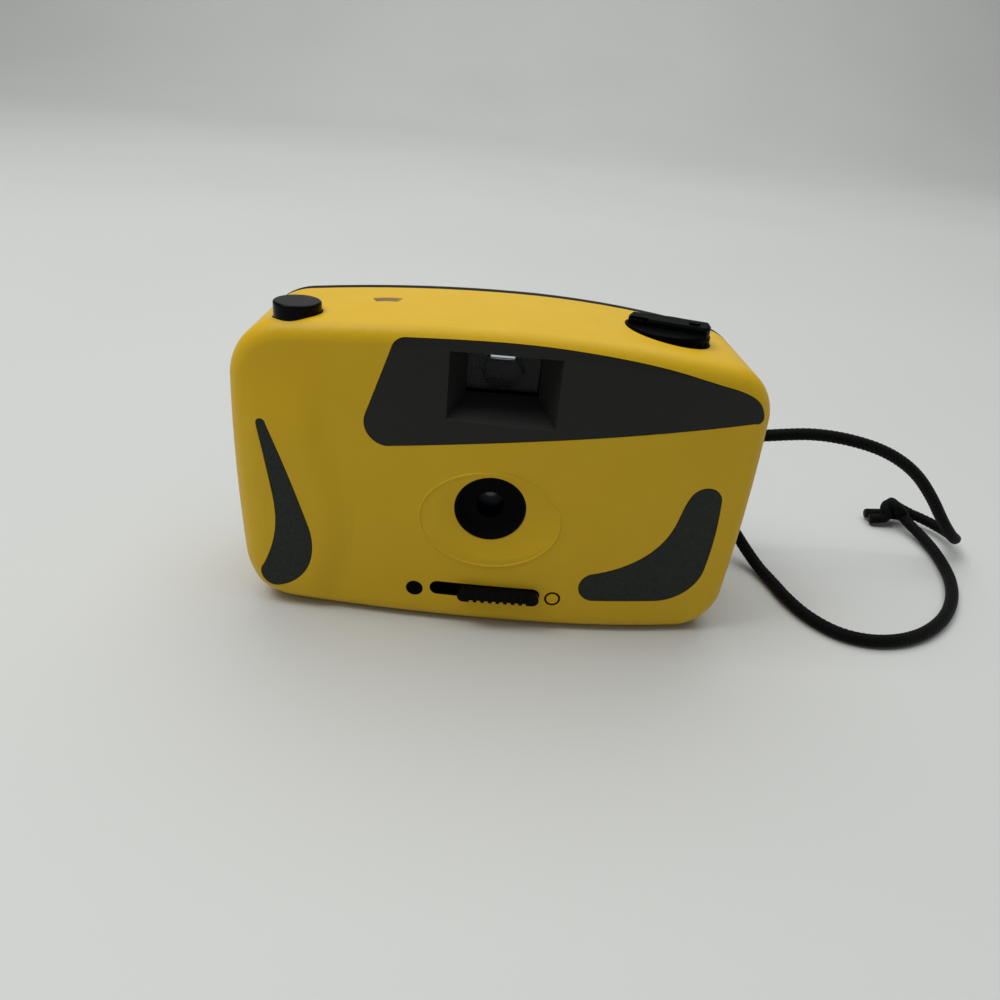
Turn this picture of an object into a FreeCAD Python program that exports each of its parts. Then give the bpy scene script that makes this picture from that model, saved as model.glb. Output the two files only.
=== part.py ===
import FreeCAD, Part
import math
import os

# Compact film camera with a fixed lens, a sliding lens cover, a thumbwheel advance and a rewind crank.
# Millimetres. +X is to the right seen from in front, +Y points away from the lens side, +Z is up.
# The origin is on the surface the camera stands on, under the middle of its box.

V = FreeCAD.Vector
X_AXIS = V(1, 0, 0)
Y_AXIS = V(0, 1, 0)
Z_AXIS = V(0, 0, 1)

# Outside of the case
half_width = 60.2            # widest point of each side from the middle
front_y = -20.6              # most forward line of the front face
case_depth = 42.0            # front face to back face
rear_y = front_y + case_depth
joint_y = front_y + 34.0     # where the front cover meets the rear frame
chamber_floor_z = 8.0        # floor of the film chambers
cartridge_room = 48.8        # height of a 135 cartridge with its spindle, and its play
deck_z = chamber_floor_z + cartridge_room
deck_thickness = 1.4
winding_room = 15.5          # height over the deck for the winding parts and the viewfinder
top_height = deck_z + deck_thickness + winding_room
crown_x = 2.0                # where the top is highest
side_bow = 420.0             # radius of the long curve of each side
side_mid_z = 38.0            # height at which the sides are widest
top_left_bow = 420.0         # radius of the top, from the crown to the shutter button
top_right_bow = 250.0        # radius of the top, from the crown to the rewind end
corner_bottom_left = 13.4
corner_top_left = 14.5
corner_top_right = 13.0
corner_bottom_right = 11.4
bow_x = 13.0                 # where the front face is furthest forward
bow_left = 455.0             # radius of the front face in plan, on the grip side
bow_right = 235.0            # radius of the front face in plan, on the rewind side
edge_round = 4.4             # round between the front face and the sides
rear_round = 6.0             # round between the back and the sides
wall = 2.0                   # side, top and bottom walls
front_wall = 2.3             # front wall

fit_gap = 0.15               # between pieces that are set into each other
run_gap = 0.3                # between pieces that move past each other
shaft_gap = 0.06             # radial gap of a shaft in its bore
beyond = 40.0                # past the case, for cuts that run right through

# Lens
lens_x = -0.6
lens_z = 32.45
dish_radius = 8.1            # outer radius of the black dish round the lens
dish_throat = 4.5            # where the dish meets its flat floor
dish_mouth = 3.3             # opening in the floor of the dish
dimple_half_width = 16.2
dimple_half_height = 12.2
dimple_depth = 1.6
dish_floor_y = front_y + 5.3
dish_rear_y = front_y + 6.0
glass_radius = 4.2
barrel_radius = 6.2

# Lens cover slide
slot_z = 9.9
slot_height = 3.5
slot_left = -13.4
slot_right = 13.0
slide_knob_length = 19.6
slide_knob_height = 3.1
slide_knob_proud = 2.2
slide_rib_count = 9
cover_plate_thickness = 0.6

# Lens barrel and shutter behind the slide
barrel_front_y = dish_rear_y + run_gap * 2 + cover_plate_thickness
barrel_rear_y = barrel_front_y + 4.6
shutter_plate_thickness = 1.0
pin_spring_height = 1.05     # coil of the springs on the blade's and lever's pins
blade_thickness = 0.4
blade_pivot = (-11.0, 40.0)
lever_pivot = (-22.0, 46.0)
plate_screws = ((-10.0, 23.5), (10.0, 47.0))
lens_plate_y = barrel_rear_y + shutter_plate_thickness + 0.2 + 2 * blade_thickness

# Viewfinder
finder_left = -12.1
finder_right = 11.75
finder_bottom = top_height - 20.4
finder_top = top_height - 4.7
finder_throat_left = -8.1
finder_throat_right = 7.9
finder_throat_bottom = top_height - 15.7
finder_throat_top = top_height - 6.7
funnel_depth = 7.4
eyepiece_width = 11.0
eyepiece_height = 7.6
eyepiece_z = top_height - 11.3
eyepiece_rim = 0.9
finder_wall = 1.0
panel_thickness = 1.2
grip_thickness = 0.9

# Film path
film_y = 12.6                # plane of the film
gate_width = 36.0
gate_height = 24.0
film_width = 35.0
chassis_wall = 1.4
cartridge_x = 36.4
cartridge_y = -1.1
cartridge_chamber_radius = 13.0
spool_x = -41.5
spool_y = 7.5
spool_chamber_radius = 12.2
spool_core_radius = 6.2
spool_flange_radius = 9.6
spool_shaft_radius = 2.4
wheel_radius = 15.3
wheel_thickness = 4.0
wheel_knurls = 72
sprocket_x = -23.9
sprocket_teeth = 8
perforation_pitch = 4.75
sprocket_radius = sprocket_teeth * perforation_pitch / (2 * math.pi)
sprocket_y = film_y - sprocket_radius
sprocket_shaft_radius = 1.6
sprocket_wheel_thickness = 2.2
sprocket_row = 14.8          # height of each perforation row from the middle of the film
shaft_foot = 5.7             # lowest point of the sprocket's shaft
wheel_z = deck_z + deck_thickness + 0.4
pawl_pivot = (-26.3, -0.4)
release_radius = 2.4
release_flange_radius = 3.0
release_bore_top = 5.5

# Shutter button and counter
button_x = -45.0
button_y = -9.1
button_radius = 5.1
button_base_z = top_height - 3.3
button_height = 3.3
button_stem_radius = 1.6
counter_x = -27.3
counter_y = -5.8
counter_radius = 9.6
counter_teeth = 40
window_inner = 6.1
window_outer = 9.2
window_half_angle = 22.0
dial_z = top_height - 5.5
dial_thickness = 1.0
dial_pin_radius = 1.0
button_cup_floor = top_height - 8.3
button_stem_end = button_cup_floor - 0.8

# Rewind
knob_radius = 9.5
well_radius = 9.9
well_floor_z = top_height - 7.5
knob_top_z = top_height - 2.0
crank_length = 18.4
crank_width = 6.6
crank_thickness = 2.5
crank_turn = -18.0           # degrees that the folded crank points towards the front
rewind_shaft_radius = 2.8
fork_z = 50.4                # lower end of the fork that turns the cartridge's spool
washer_z = deck_z + deck_thickness + 0.1
pivot_along = 7.0            # crank's pivot, from the middle of the knob
pivot_radius = 0.6
pivot_z = knob_top_z + 1.3
handle_along = 5.6
handle_radius = 2.0
handle_height = 2.4

# Door
door_left = -53.6
door_right = 50.4
door_bottom = 5.9
door_top = 54.9
door_thickness = 2.2
hinge_x = -55.6
hinge_y = rear_y - 2.5
hinge_pin_radius = 0.95
knuckle_radius = 1.85
latch_x = 46.0
latch_z = 30.0
latch_travel = 2.5

# Pressure plate on the door
plate_half_width = 19.6      # narrower than the gap between the sprocket's teeth and the cartridge
plate_half_height = 16.6
plate_thickness = 0.8
plate_y = film_y + 0.5
plate_travel = 0.8
plate_posts = ((lens_x - 17.0, lens_z + 12.5), (lens_x + 17.0, lens_z + 12.5),
               (lens_x - 17.0, lens_z - 12.5), (lens_x + 17.0, lens_z - 12.5))

# Case screws
base_screws = ((-50.0, -2.0), (52.0, -6.0))
screw_radius = 1.0
screw_head_radius = 1.9
screw_head_depth = 1.1

# Wrist strap
cord_diameter = 3.4
lug_x = 57.0                 # middle of the pin that holds the strap
lug_y = 17.5
lug_z = 37.2
lug_pin_radius = 0.9
lug_front_end = 14.6
lug_rear_end = 19.9
hitch_radius = lug_pin_radius + cord_diameter / 2 + 0.1
hitch_end_x = 59.6           # where the strap's two strands leave the lug
upper_strand = ((hitch_end_x, lug_y, lug_z + hitch_radius), (67.6, lug_y, lug_z + hitch_radius),
                (76.6, 17.5, 41.3), (86.0, 17.5, 42.4), (97.0, 17.5, 41.4), (108.0, 18.3, 38.4),
                (118.5, 20.0, 32.5), (127.5, 22.2, 24.0), (135.0, 24.4, 15.4), (140.6, 26.4, 9.9),
                (144.6, 29.0, 6.9), (147.6, 32.9, 4.9), (149.0, 37.6, 3.7), (148.4, 42.5, 3.1),
                (146.0, 46.8, 3.2), (142.0, 49.9, 3.7))
lower_strand = ((hitch_end_x, lug_y, lug_z - hitch_radius), (64.1, lug_y, lug_z - hitch_radius),
                (68.5, 17.6, 32.8), (71.8, 18.2, 29.5), (73.5, 19.0, 25.1), (73.8, 19.9, 20.2),
                (73.9, 20.4, 15.2), (74.9, 20.3, 10.2), (76.7, 18.7, 6.2), (78.5, 15.4, 3.3),
                (80.0, 11.0, 1.8), (81.0, 5.6, 1.8), (82.4, -2.0, 1.8), (85.6, -10.4, 1.8),
                (91.8, -17.0, 1.8), (101.0, -18.8, 1.8), (112.0, -15.8, 1.8), (122.5, -8.5, 1.8),
                (131.0, 1.5, 1.8), (136.8, 13.0, 1.8), (139.6, 24.5, 1.8), (140.4, 35.0, 2.2),
                (138.3, 43.6, 3.4))
knot_middle = (136.2, 48.8, 4.9)
knot_turn_radius = 2.9


def box(x0, x1, y0, y1, z0, z1):
    return Part.makeBox(x1 - x0, y1 - y0, z1 - z0, V(x0, y0, z0))


def cyl_z(x, y, radius, z0, z1):
    return Part.makeCylinder(radius, z1 - z0, V(x, y, z0), Z_AXIS)


def cyl_y(x, z, radius, y0, y1):
    return Part.makeCylinder(radius, y1 - y0, V(x, y0, z), Y_AXIS)


def ring_z(x, y, outer, inner, z0, z1):
    return cyl_z(x, y, outer, z0, z1).cut(cyl_z(x, y, inner, z0 - 1, z1 + 1))


def ring_y(x, z, outer, inner, y0, y1):
    return cyl_y(x, z, outer, y0, y1).cut(cyl_y(x, z, inner, y0 - 1, y1 + 1))


def cone_y(x, z, r0, r1, y0, y1):
    return Part.makeCone(r0, r1, y1 - y0, V(x, y0, z), Y_AXIS)


def fuse(shapes):
    result = shapes[0]
    for shape in shapes[1:]:
        result = result.fuse(shape)
    return result.removeSplitter()


def one_solid(shape):
    shape = shape.removeSplitter()
    solids = sorted(shape.Solids, key=lambda s: -s.Volume)
    return solids[0]


def save(name, shape):
    shape.exportStep("parts/" + name + ".step")
    volume = shape.Volume
    print(name, "solids", len(shape.Solids), "volume", round(volume, 1), "valid", shape.isValid())


def polar(centre, radius, degrees):
    angle = math.radians(degrees)
    return (centre[0] + radius * math.cos(angle), centre[1] + radius * math.sin(angle))


def angle_of(centre, point):
    return math.degrees(math.atan2(point[1] - centre[1], point[0] - centre[0]))


def circle_crossing(c1, r1, c2, r2, towards):
    # The point at r1 from c1 and r2 from c2 that is nearest to the point "towards".
    dx = c2[0] - c1[0]
    dy = c2[1] - c1[1]
    gap = math.hypot(dx, dy)
    along = (r1 * r1 - r2 * r2 + gap * gap) / (2 * gap)
    across = math.sqrt(max(r1 * r1 - along * along, 0.0))
    base = (c1[0] + along * dx / gap, c1[1] + along * dy / gap)
    first = (base[0] - across * dy / gap, base[1] + across * dx / gap)
    second = (base[0] + across * dy / gap, base[1] - across * dx / gap)
    return min((first, second), key=lambda p: math.dist(p, towards))


def case_outline(inset):
    # Front elevation: two bowed sides, a crowned top and a flat bottom, joined by tangent corner arcs.
    right = (half_width - side_bow, side_mid_z)
    left = (side_bow - half_width, side_mid_z)
    top_right = (crown_x, top_height - top_right_bow)
    top_left = (crown_x, top_height - top_left_bow)
    br_z = corner_bottom_right
    bl_z = corner_bottom_left
    br_x = right[0] + math.sqrt((side_bow - br_z) ** 2 - (br_z - right[1]) ** 2)
    bl_x = left[0] - math.sqrt((side_bow - bl_z) ** 2 - (bl_z - left[1]) ** 2)
    tr = circle_crossing(right, side_bow - corner_top_right, top_right, top_right_bow - corner_top_right,
                         (half_width, top_height))
    tl = circle_crossing(left, side_bow - corner_top_left, top_left, top_left_bow - corner_top_left,
                         (-half_width, top_height))
    corners = {"br": (br_x, br_z), "bl": (bl_x, bl_z), "tr": tr, "tl": tl}

    def arc(centre, radius, a0, a1):
        points = [polar(centre, radius - inset, a) for a in (a0, (a0 + a1) / 2, a1)]
        return Part.Arc(*[V(p[0], 0, p[1]) for p in points]).toShape()

    a_br = angle_of(right, corners["br"])
    a_tr = angle_of(right, corners["tr"])
    a_trt = angle_of(top_right, corners["tr"])
    a_tlt = angle_of(top_left, corners["tl"])
    a_tl = angle_of(left, corners["tl"]) % 360
    a_bl = angle_of(left, corners["bl"]) % 360
    start = V(corners["bl"][0], 0, inset)
    end = V(corners["br"][0], 0, inset)
    edges = [
        Part.LineSegment(start, end).toShape(),
        arc(corners["br"], corner_bottom_right, -90, a_br),
        arc(right, side_bow, a_br, a_tr),
        arc(corners["tr"], corner_top_right, a_tr, a_trt),
        arc(top_right, top_right_bow, a_trt, 90),
        arc(top_left, top_left_bow, 90, a_tlt),
        arc(corners["tl"], corner_top_left, a_tlt, a_tl),
        arc(left, side_bow, a_tl, a_bl),
        arc(corners["bl"], corner_bottom_left, a_bl, 270),
    ]
    return Part.Wire(edges)


def top_surface(x):
    radius = top_left_bow if x < crown_x else top_right_bow
    return top_height - radius + math.sqrt(radius ** 2 - (x - crown_x) ** 2)


def plan_slab(inset, back):
    # Everything behind the bowed front face, as an upright prism.
    reach = 70.0
    left = (bow_x, front_y + bow_left)
    right = (bow_x, front_y + bow_right)

    def arc(centre, radius, x0, x1):
        r = radius - inset
        points = []
        for x in (x0, (x0 + x1) / 2, x1):
            points.append(V(x, centre[1] - math.sqrt(r * r - (x - centre[0]) ** 2), -5))
        return Part.Arc(*points).toShape()

    front_left = arc(left, bow_left, -reach, bow_x)
    front_right = arc(right, bow_right, bow_x, reach)
    right_end = front_right.Vertexes[-1].Point
    left_end = front_left.Vertexes[0].Point
    sides = [Part.LineSegment(right_end, V(reach, back, -5)).toShape(),
             Part.LineSegment(V(reach, back, -5), V(-reach, back, -5)).toShape(),
             Part.LineSegment(V(-reach, back, -5), left_end).toShape()]
    return Part.Face(Part.Wire([front_left, front_right] + sides)).extrude(V(0, 0, 90))


def case_body(inset, front_inset, back, rounding):
    # The case as one solid up to the plane y = back, with its front edge rounded.
    prism = Part.Face(case_outline(inset)).extrude(V(0, 80, 0))
    prism.translate(V(0, -40, 0))
    solid = prism.common(plan_slab(front_inset, back))
    edges = []
    for face in solid.Faces:
        u0, u1, v0, v1 = face.ParameterRange
        normal = face.normalAt((u0 + u1) / 2, (v0 + v1) / 2)
        if normal.y < -0.8:
            edges += face.Edges
    rim = [e for e in edges if sum(1 for o in edges if o.isSame(e)) == 1]
    return solid.makeFillet(rounding, rim)


def rear_body(inset, start, back, rounding):
    face = Part.Face(case_outline(inset))
    solid = face.extrude(V(0, back - start, 0))
    solid.translate(V(0, start, 0))
    rim = []
    for face in solid.Faces:
        if face.BoundBox.YLength < 0.01 and face.BoundBox.YMin > back - 0.01:
            rim = face.Edges
    return solid.makeFillet(rounding, rim)


def path_wire(start, pieces):
    # A closed outline in the front plane, made of lines, arcs and smooth curves.
    edges = []
    here = V(start[0], 0, start[1])
    for piece in pieces:
        points = [V(p[0], 0, p[1]) for p in piece[1:]]
        if piece[0] == "line":
            edges.append(Part.LineSegment(here, points[0]).toShape())
        elif piece[0] == "arc":
            edges.append(Part.Arc(here, points[0], points[1]).toShape())
        else:
            curve = Part.BSplineCurve()
            curve.interpolate([here] + points)
            edges.append(curve.toShape())
        here = points[-1]
    return Part.Wire(edges)


def front_prism(wire, y0, y1):
    solid = Part.Face(wire).extrude(V(0, y1 - y0, 0))
    solid.translate(V(0, y0, 0))
    return solid


def wire_offset(wire, distance):
    # The outline moved outwards by a distance, redrawn with plain lines, arcs and smooth curves.
    if abs(distance) < 1e-6:
        return wire
    edges = []
    runs = []
    for edge in wire.makeOffset2D(distance).OrderedEdges:
        points = edge.discretize(9)
        if edge.Orientation == "Reversed":
            points.reverse()
        runs.append((edge.Curve.TypeId, points))
    for index, (kind, points) in enumerate(runs):
        before = runs[index - 1][1]
        if (points[0] - before[-1]).Length > (points[0] - before[0]).Length:
            before.reverse()
    for index, (kind, points) in enumerate(runs):
        after = runs[(index + 1) % len(runs)][1]
        points[-1] = after[0]
        if kind == "Part::GeomLine":
            edges.append(Part.LineSegment(points[0], points[-1]).toShape())
        elif kind == "Part::GeomCircle":
            edges.append(Part.Arc(points[0], points[4], points[-1]).toShape())
        else:
            curve = Part.BSplineCurve()
            curve.interpolate(points)
            edges.append(curve.toShape())
    return Part.Wire(edges)


def panel_outline():
    # Each point is given by its x and its depth under the crown of the top.
    def at(x, depth):
        return (x, top_height - depth)

    return path_wire(at(-28.9, 20.2), [
        ("line", at(-23.7, 5.6)),
        ("arc", at(-22.8, 4.0), at(-20.9, 3.2)),
        ("curve", at(-5.7, 2.45), at(6.7, 2.4), at(19.4, 3.2), at(30.4, 4.6), at(38.4, 6.2), at(45.4, 8.0),
         at(52.4, 10.0), at(54.9, 11.4), at(56.6, 13.4), at(57.3, 15.4)),
        ("arc", at(56.9, 16.2), at(55.7, 16.5)),
        ("line", at(-24.6, 27.6)),
        ("arc", at(-28.4, 25.5), at(-28.9, 20.2)),
    ])


def left_grip_outline():
    return path_wire((-51.3, 48.3), [
        ("curve", (-47.7, 39.1), (-44.6, 30.1), (-42.4, 23.2)),
        ("curve", (-41.8, 17.8), (-43.0, 12.4), (-46.5, 7.9), (-50.6, 5.8)),
        ("arc", (-54.1, 7.2), (-53.9, 11.0)),
        ("curve", (-51.5, 16.7), (-50.2, 22.7), (-50.2, 28.9), (-51.0, 34.8), (-52.2, 42.4), (-53.2, 48.1)),
        ("arc", (-52.4, 49.2), (-51.3, 48.3)),
    ])


def right_grip_outline():
    return path_wire((52.4, 37.6), [
        ("curve", (52.8, 31.8), (52.8, 25.0), (52.2, 18.2)),
        ("curve", (50.2, 13.9), (46.7, 11.1), (41.6, 9.8)),
        ("line", (26.2, 9.5)),
        ("arc", (22.5, 12.2), (24.6, 16.9)),
        ("curve", (34.1, 20.5), (38.1, 23.5), (40.9, 26.9), (42.7, 30.8), (43.8, 35.4), (44.9, 38.7)),
        ("arc", (48.6, 41.0), (52.4, 37.6)),
    ])


def slot_prism(x0, x1, z, height, y0, y1):
    r = height / 2
    body = box(x0 + r, x1 - r, y0, y1, z - r, z + r)
    return fuse([body, cyl_y(x0 + r, z, r, y0, y1), cyl_y(x1 - r, z, r, y0, y1)])


def funnel(y0, grow):
    # Tapered solid of the viewfinder recess; grow adds to it on every side.
    def frame(x0, x1, z0, z1, y):
        points = [V(x0, y, z0), V(x1, y, z0), V(x1, y, z1), V(x0, y, z1), V(x0, y, z0)]
        return Part.makePolygon(points)

    ahead = 2.0
    share = ahead / funnel_depth
    wide_left = finder_left - (finder_throat_left - finder_left) * share
    wide_right = finder_right + (finder_right - finder_throat_right) * share
    wide_bottom = finder_bottom - (finder_throat_bottom - finder_bottom) * share
    wide_top = finder_top + (finder_top - finder_throat_top) * share
    near = frame(wide_left - grow, wide_right + grow, wide_bottom - grow, wide_top + grow, y0 - ahead)
    far = frame(finder_throat_left - grow, finder_throat_right + grow, finder_throat_bottom - grow,
                finder_throat_top + grow, y0 + funnel_depth)
    return Part.makeLoft([near, far], True, True)


def spring_coil(x, y, z0, z1, radius, wire, turns):
    # A compression spring on an upright axis, with its wire's ends level at z0 and z1.
    pitch = (z1 - z0 - wire) / turns
    print("spring of", turns, "turns, least gap between turns", round(pitch - wire, 2))
    helix = Part.makeHelix(pitch, pitch * turns, radius)
    helix.translate(V(x, y, z0 + wire / 2))
    start = helix.Vertexes[0].Point
    tangent = V(0, 1, pitch / (2 * math.pi * radius))
    section = Part.Wire([Part.makeCircle(wire / 2, start, tangent)])
    return Part.Wire(helix.Edges).makePipeShell([section], True, True)


skin = case_body(0, 0, joint_y, edge_round)
cavity = case_body(wall, front_wall, joint_y + 5, edge_round - wall)


def front_pocket(wire, depth, clearance):
    # Everything in front of the given depth under the front face, inside an outline.
    block = front_prism(wire_offset(wire, clearance), front_y - 5, front_y + 14)
    return block.cut(case_body_shifted(depth))


def front_layer(wire, depth):
    # The flush inlay that fills such a pocket.
    return front_pocket(wire, depth, 0).common(skin)


def case_body_shifted(depth):
    key = round(depth, 3)
    if key not in shifted:
        shifted[key] = plan_slab(depth, joint_y + 1)
    return shifted[key]


shifted = {}


def make_front_cover():
    shell = skin.cut(cavity)
    # Pockets of the panel and the two grips, with the viewfinder's opening through the wall.
    shell = shell.cut(front_pocket(panel_outline(), panel_thickness + fit_gap, fit_gap))
    shell = shell.cut(front_pocket(left_grip_outline(), grip_thickness + fit_gap, fit_gap))
    shell = shell.cut(front_pocket(right_grip_outline(), grip_thickness + fit_gap, fit_gap))
    shell = shell.cut(funnel(front_y, finder_wall + fit_gap))
    # Shallow oval dimple round the lens.
    cap = 0.6
    reach = dimple_depth / (1 - math.sqrt(1 - cap ** 2))
    scale = FreeCAD.Matrix()
    scale.scale(dimple_half_width / cap, reach, dimple_half_height / cap)
    dome = Part.makeSphere(1.0).transformGeometry(scale)
    dome.translate(V(lens_x, front_y - reach + dimple_depth, lens_z - 1.6))
    shell = shell.cut(dome)
    shell = shell.cut(cyl_y(lens_x, lens_z, dish_radius + fit_gap, front_y - 5, dish_rear_y + 5))
    shell = shell.cut(slot_prism(slot_left, slot_right, slot_z, slot_height, front_y - 5, front_y + 5))
    # Button bore, counter window and the well of the rewind knob.
    shell = shell.cut(cyl_z(button_x, button_y, button_radius + 0.25, 60, 80))
    shell = shell.cut(counter_sector(0.0).extrude(V(0, 0, 20)))
    well_wall = 1.3
    well = cyl_z(cartridge_x, cartridge_y, well_radius + well_wall, well_floor_z - 1.4, 80).common(skin)
    shell = shell.fuse(well)
    shell = shell.cut(cyl_z(cartridge_x, cartridge_y, well_radius, well_floor_z, 80))
    shell = shell.cut(cyl_z(cartridge_x, cartridge_y, rewind_shaft_radius + 0.4, 60, 80))
    cup = cyl_z(button_x, button_y, button_radius + 1.4, button_cup_floor, 80).common(skin)
    shell = shell.fuse(cup)
    shell = shell.cut(cyl_z(button_x, button_y, button_radius + 0.25, button_cup_floor + 1.0, 80))
    shell = shell.cut(cyl_z(button_x, button_y, button_stem_radius + shaft_gap, 60, 80))
    shell = shell.cut(cyl_z(spool_x, spool_y, wheel_radius + run_gap, wheel_z - run_gap,
                            wheel_z + wheel_thickness + run_gap))
    # Holes in the base: the rewind release and two case screws.
    shell = shell.cut(cyl_z(sprocket_x, sprocket_y, release_radius + shaft_gap * 2, -1, 5))
    for x, y in base_screws:
        shell = shell.cut(cyl_z(x, y, screw_head_radius + 0.2, -1, screw_head_depth))
        shell = shell.cut(cyl_z(x, y, screw_radius + 0.2, -1, 5))
    save("front_cover", one_solid(shell))


def counter_sector(clearance):
    # Arc-shaped window over the frame numbers, on the far side of the dial's centre.
    centre = (counter_x, counter_y)
    r0 = window_inner - clearance
    r1 = window_outer + clearance
    a0 = 90 - window_half_angle
    a1 = 90 + window_half_angle
    grow = math.degrees(clearance / ((r0 + r1) / 2))

    def point(r, a):
        p = polar(centre, r, a)
        return V(p[0], p[1], 64)

    outer = Part.Arc(point(r1, a0 - grow), point(r1, 90), point(r1, a1 + grow)).toShape()
    inner = Part.Arc(point(r0, a1 + grow), point(r0, 90), point(r0, a0 - grow)).toShape()
    side_a = Part.LineSegment(point(r1, a1 + grow), point(r0, a1 + grow)).toShape()
    side_b = Part.LineSegment(point(r0, a0 - grow), point(r1, a0 - grow)).toShape()
    return Part.Face(Part.Wire([outer, side_a, inner, side_b]))


def make_panel():
    panel = front_layer(panel_outline(), panel_thickness)
    sleeve = funnel(front_y, finder_wall).common(plan_slab(0, beyond)).common(skin)
    panel = panel.fuse(sleeve).cut(funnel(front_y, 0))
    save("viewfinder_panel", one_solid(panel))


def make_grips():
    for name, outline in (("left_grip", left_grip_outline()), ("right_grip", right_grip_outline())):
        save(name, one_solid(front_layer(outline, grip_thickness)))


def make_lens():
    rim_y = front_y + dimple_depth - 0.5
    dish = cyl_y(lens_x, lens_z, dish_radius, rim_y, dish_rear_y)
    mouth = dish_radius - 0.5
    dish = dish.cut(cone_y(lens_x, lens_z, mouth, dish_throat, rim_y, dish_floor_y))
    dish = dish.cut(cyl_y(lens_x, lens_z, dish_mouth, rim_y, dish_rear_y + 1))
    flange = ring_y(lens_x, lens_z, dish_radius + 1.6, dish_mouth, front_y + front_wall + 0.75, dish_rear_y)
    save("lens_dish", one_solid(dish.fuse(flange)))

    front = barrel_front_y
    barrel = ring_y(lens_x, lens_z, barrel_radius, glass_radius + 0.05, front, barrel_rear_y)
    barrel = barrel.fuse(ring_y(lens_x, lens_z, barrel_radius, 3.0, barrel_rear_y - 0.6, barrel_rear_y))
    save("lens_barrel", one_solid(barrel))
    ring = ring_y(lens_x, lens_z, glass_radius, 3.1, front, front + 0.6)
    save("lens_retaining_ring", ring)
    # Front glass: a meniscus with its bulging face forward.
    save("front_lens", lens_glass(front + 0.65, 1.5, 9.0, 14.0))
    stop_y = front + 2.5
    save("aperture_disc", ring_y(lens_x, lens_z, glass_radius, 1.4, stop_y, stop_y + 0.2))
    save("rear_lens", lens_glass(stop_y + 0.25, 1.2, 30.0, 10.0))


def lens_glass(y, thickness, front_radius, rear_radius):
    disc = cyl_y(lens_x, lens_z, glass_radius, y, y + thickness)
    bulge = Part.makeSphere(front_radius, V(lens_x, y + front_radius, lens_z))
    hollow = Part.makeSphere(rear_radius, V(lens_x, y + thickness + rear_radius - 0.3, lens_z))
    return disc.common(bulge).cut(hollow)


def make_lens_cover():
    cover_y = dish_rear_y + run_gap
    knob_right = slot_right - fit_gap
    knob_left = knob_right - slide_knob_length
    middle = (knob_left + knob_right) / 2
    r = slide_knob_height / 2
    outer = front_y - slide_knob_proud
    low = slot_z - r
    high = slot_z + r
    knob = slot_prism(knob_left, knob_right, slot_z, slide_knob_height, outer, front_y + front_wall)
    pitch = (slide_knob_length - 2 * r) / slide_rib_count
    groove = pitch * 0.5
    for index in range(slide_rib_count - 1):
        x = knob_left + r + pitch * (index + 1)
        cut = box(x - groove / 2, x + groove / 2, outer - 1, outer + 0.7, low - 1, high + 1)
        knob = knob.cut(cut)
    neck = box(middle - 4, middle + 4, front_y + front_wall - 0.1, cover_y, slot_z - r, slot_z + r)
    flange = box(knob_left + 1.5, knob_right - 1.5, front_y + front_wall + 0.85, front_y + front_wall + 1.6,
                 low - 1.2, high + 1.2)
    save("cover_slide_knob", one_solid(fuse([knob, neck, flange])))
    half = 10.5
    plate = box(lens_x - half, lens_x + half, cover_y, cover_y + cover_plate_thickness, slot_z - r,
                lens_z + 6.5)
    plate = plate.cut(cyl_y(lens_x, lens_z, dish_mouth, cover_y - 1, cover_y + 2))
    save("lens_cover_plate", one_solid(plate))


def make_finder():
    # Square tube from the recess to the eyepiece, with a glass at each end.
    start = front_y + funnel_depth + fit_gap
    end = rear_y - wall
    w0 = (finder_throat_right - finder_throat_left) / 2 + 0.2
    h0 = (finder_throat_top - finder_throat_bottom) / 2 + 0.2
    cx = (finder_throat_right + finder_throat_left) / 2
    cz = (finder_throat_top + finder_throat_bottom) / 2

    def frame(y, w, h, z):
        return Part.makePolygon([V(cx - w, y, z - h), V(cx + w, y, z - h), V(cx + w, y, z + h),
                                 V(cx - w, y, z + h), V(cx - w, y, z - h)])

    w1 = eyepiece_width / 2
    h1 = eyepiece_height / 2
    t = finder_wall
    outer = Part.makeLoft([frame(start, w0 + t, h0 + t, cz), frame(end, w1 + t, h1 + t, eyepiece_z)], True,
                          True)
    inner = Part.makeLoft([frame(start, w0, h0, cz), frame(end, w1, h1, eyepiece_z)], True, True)
    stretch = 1.0
    inner_front = box(cx - w0, cx + w0, start - stretch, start, cz - h0, cz + h0)
    tube = outer.cut(inner).cut(inner_front)
    glass_y = start + 1.2
    ledge = box(cx - w0 - 0.5, cx + w0 + 0.5, glass_y - 0.1, glass_y + 1.6, cz - h0 - 0.5, cz + h0 + 0.5)
    tube = tube.cut(ledge)
    save("viewfinder_tunnel", one_solid(tube))
    glass = box(cx - w0 - 0.4, cx + w0 + 0.4, glass_y, glass_y + 1.5, cz - h0 - 0.4, cz + h0 + 0.4)
    dish = Part.makeSphere(16.0, V(cx, glass_y + 16.0 + 0.8, cz))
    save("viewfinder_front_lens", one_solid(glass.cut(dish)))
    eye = box(cx - w1 + 0.05, cx + w1 - 0.05, end - 2.0, end - 0.4, eyepiece_z - h1 + 0.05,
              eyepiece_z + h1 - 0.05)
    bulge = Part.makeSphere(30.0, V(cx, end - 0.4 - 30.0, eyepiece_z))
    save("eyepiece_lens", one_solid(eye.common(bulge)))


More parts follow.
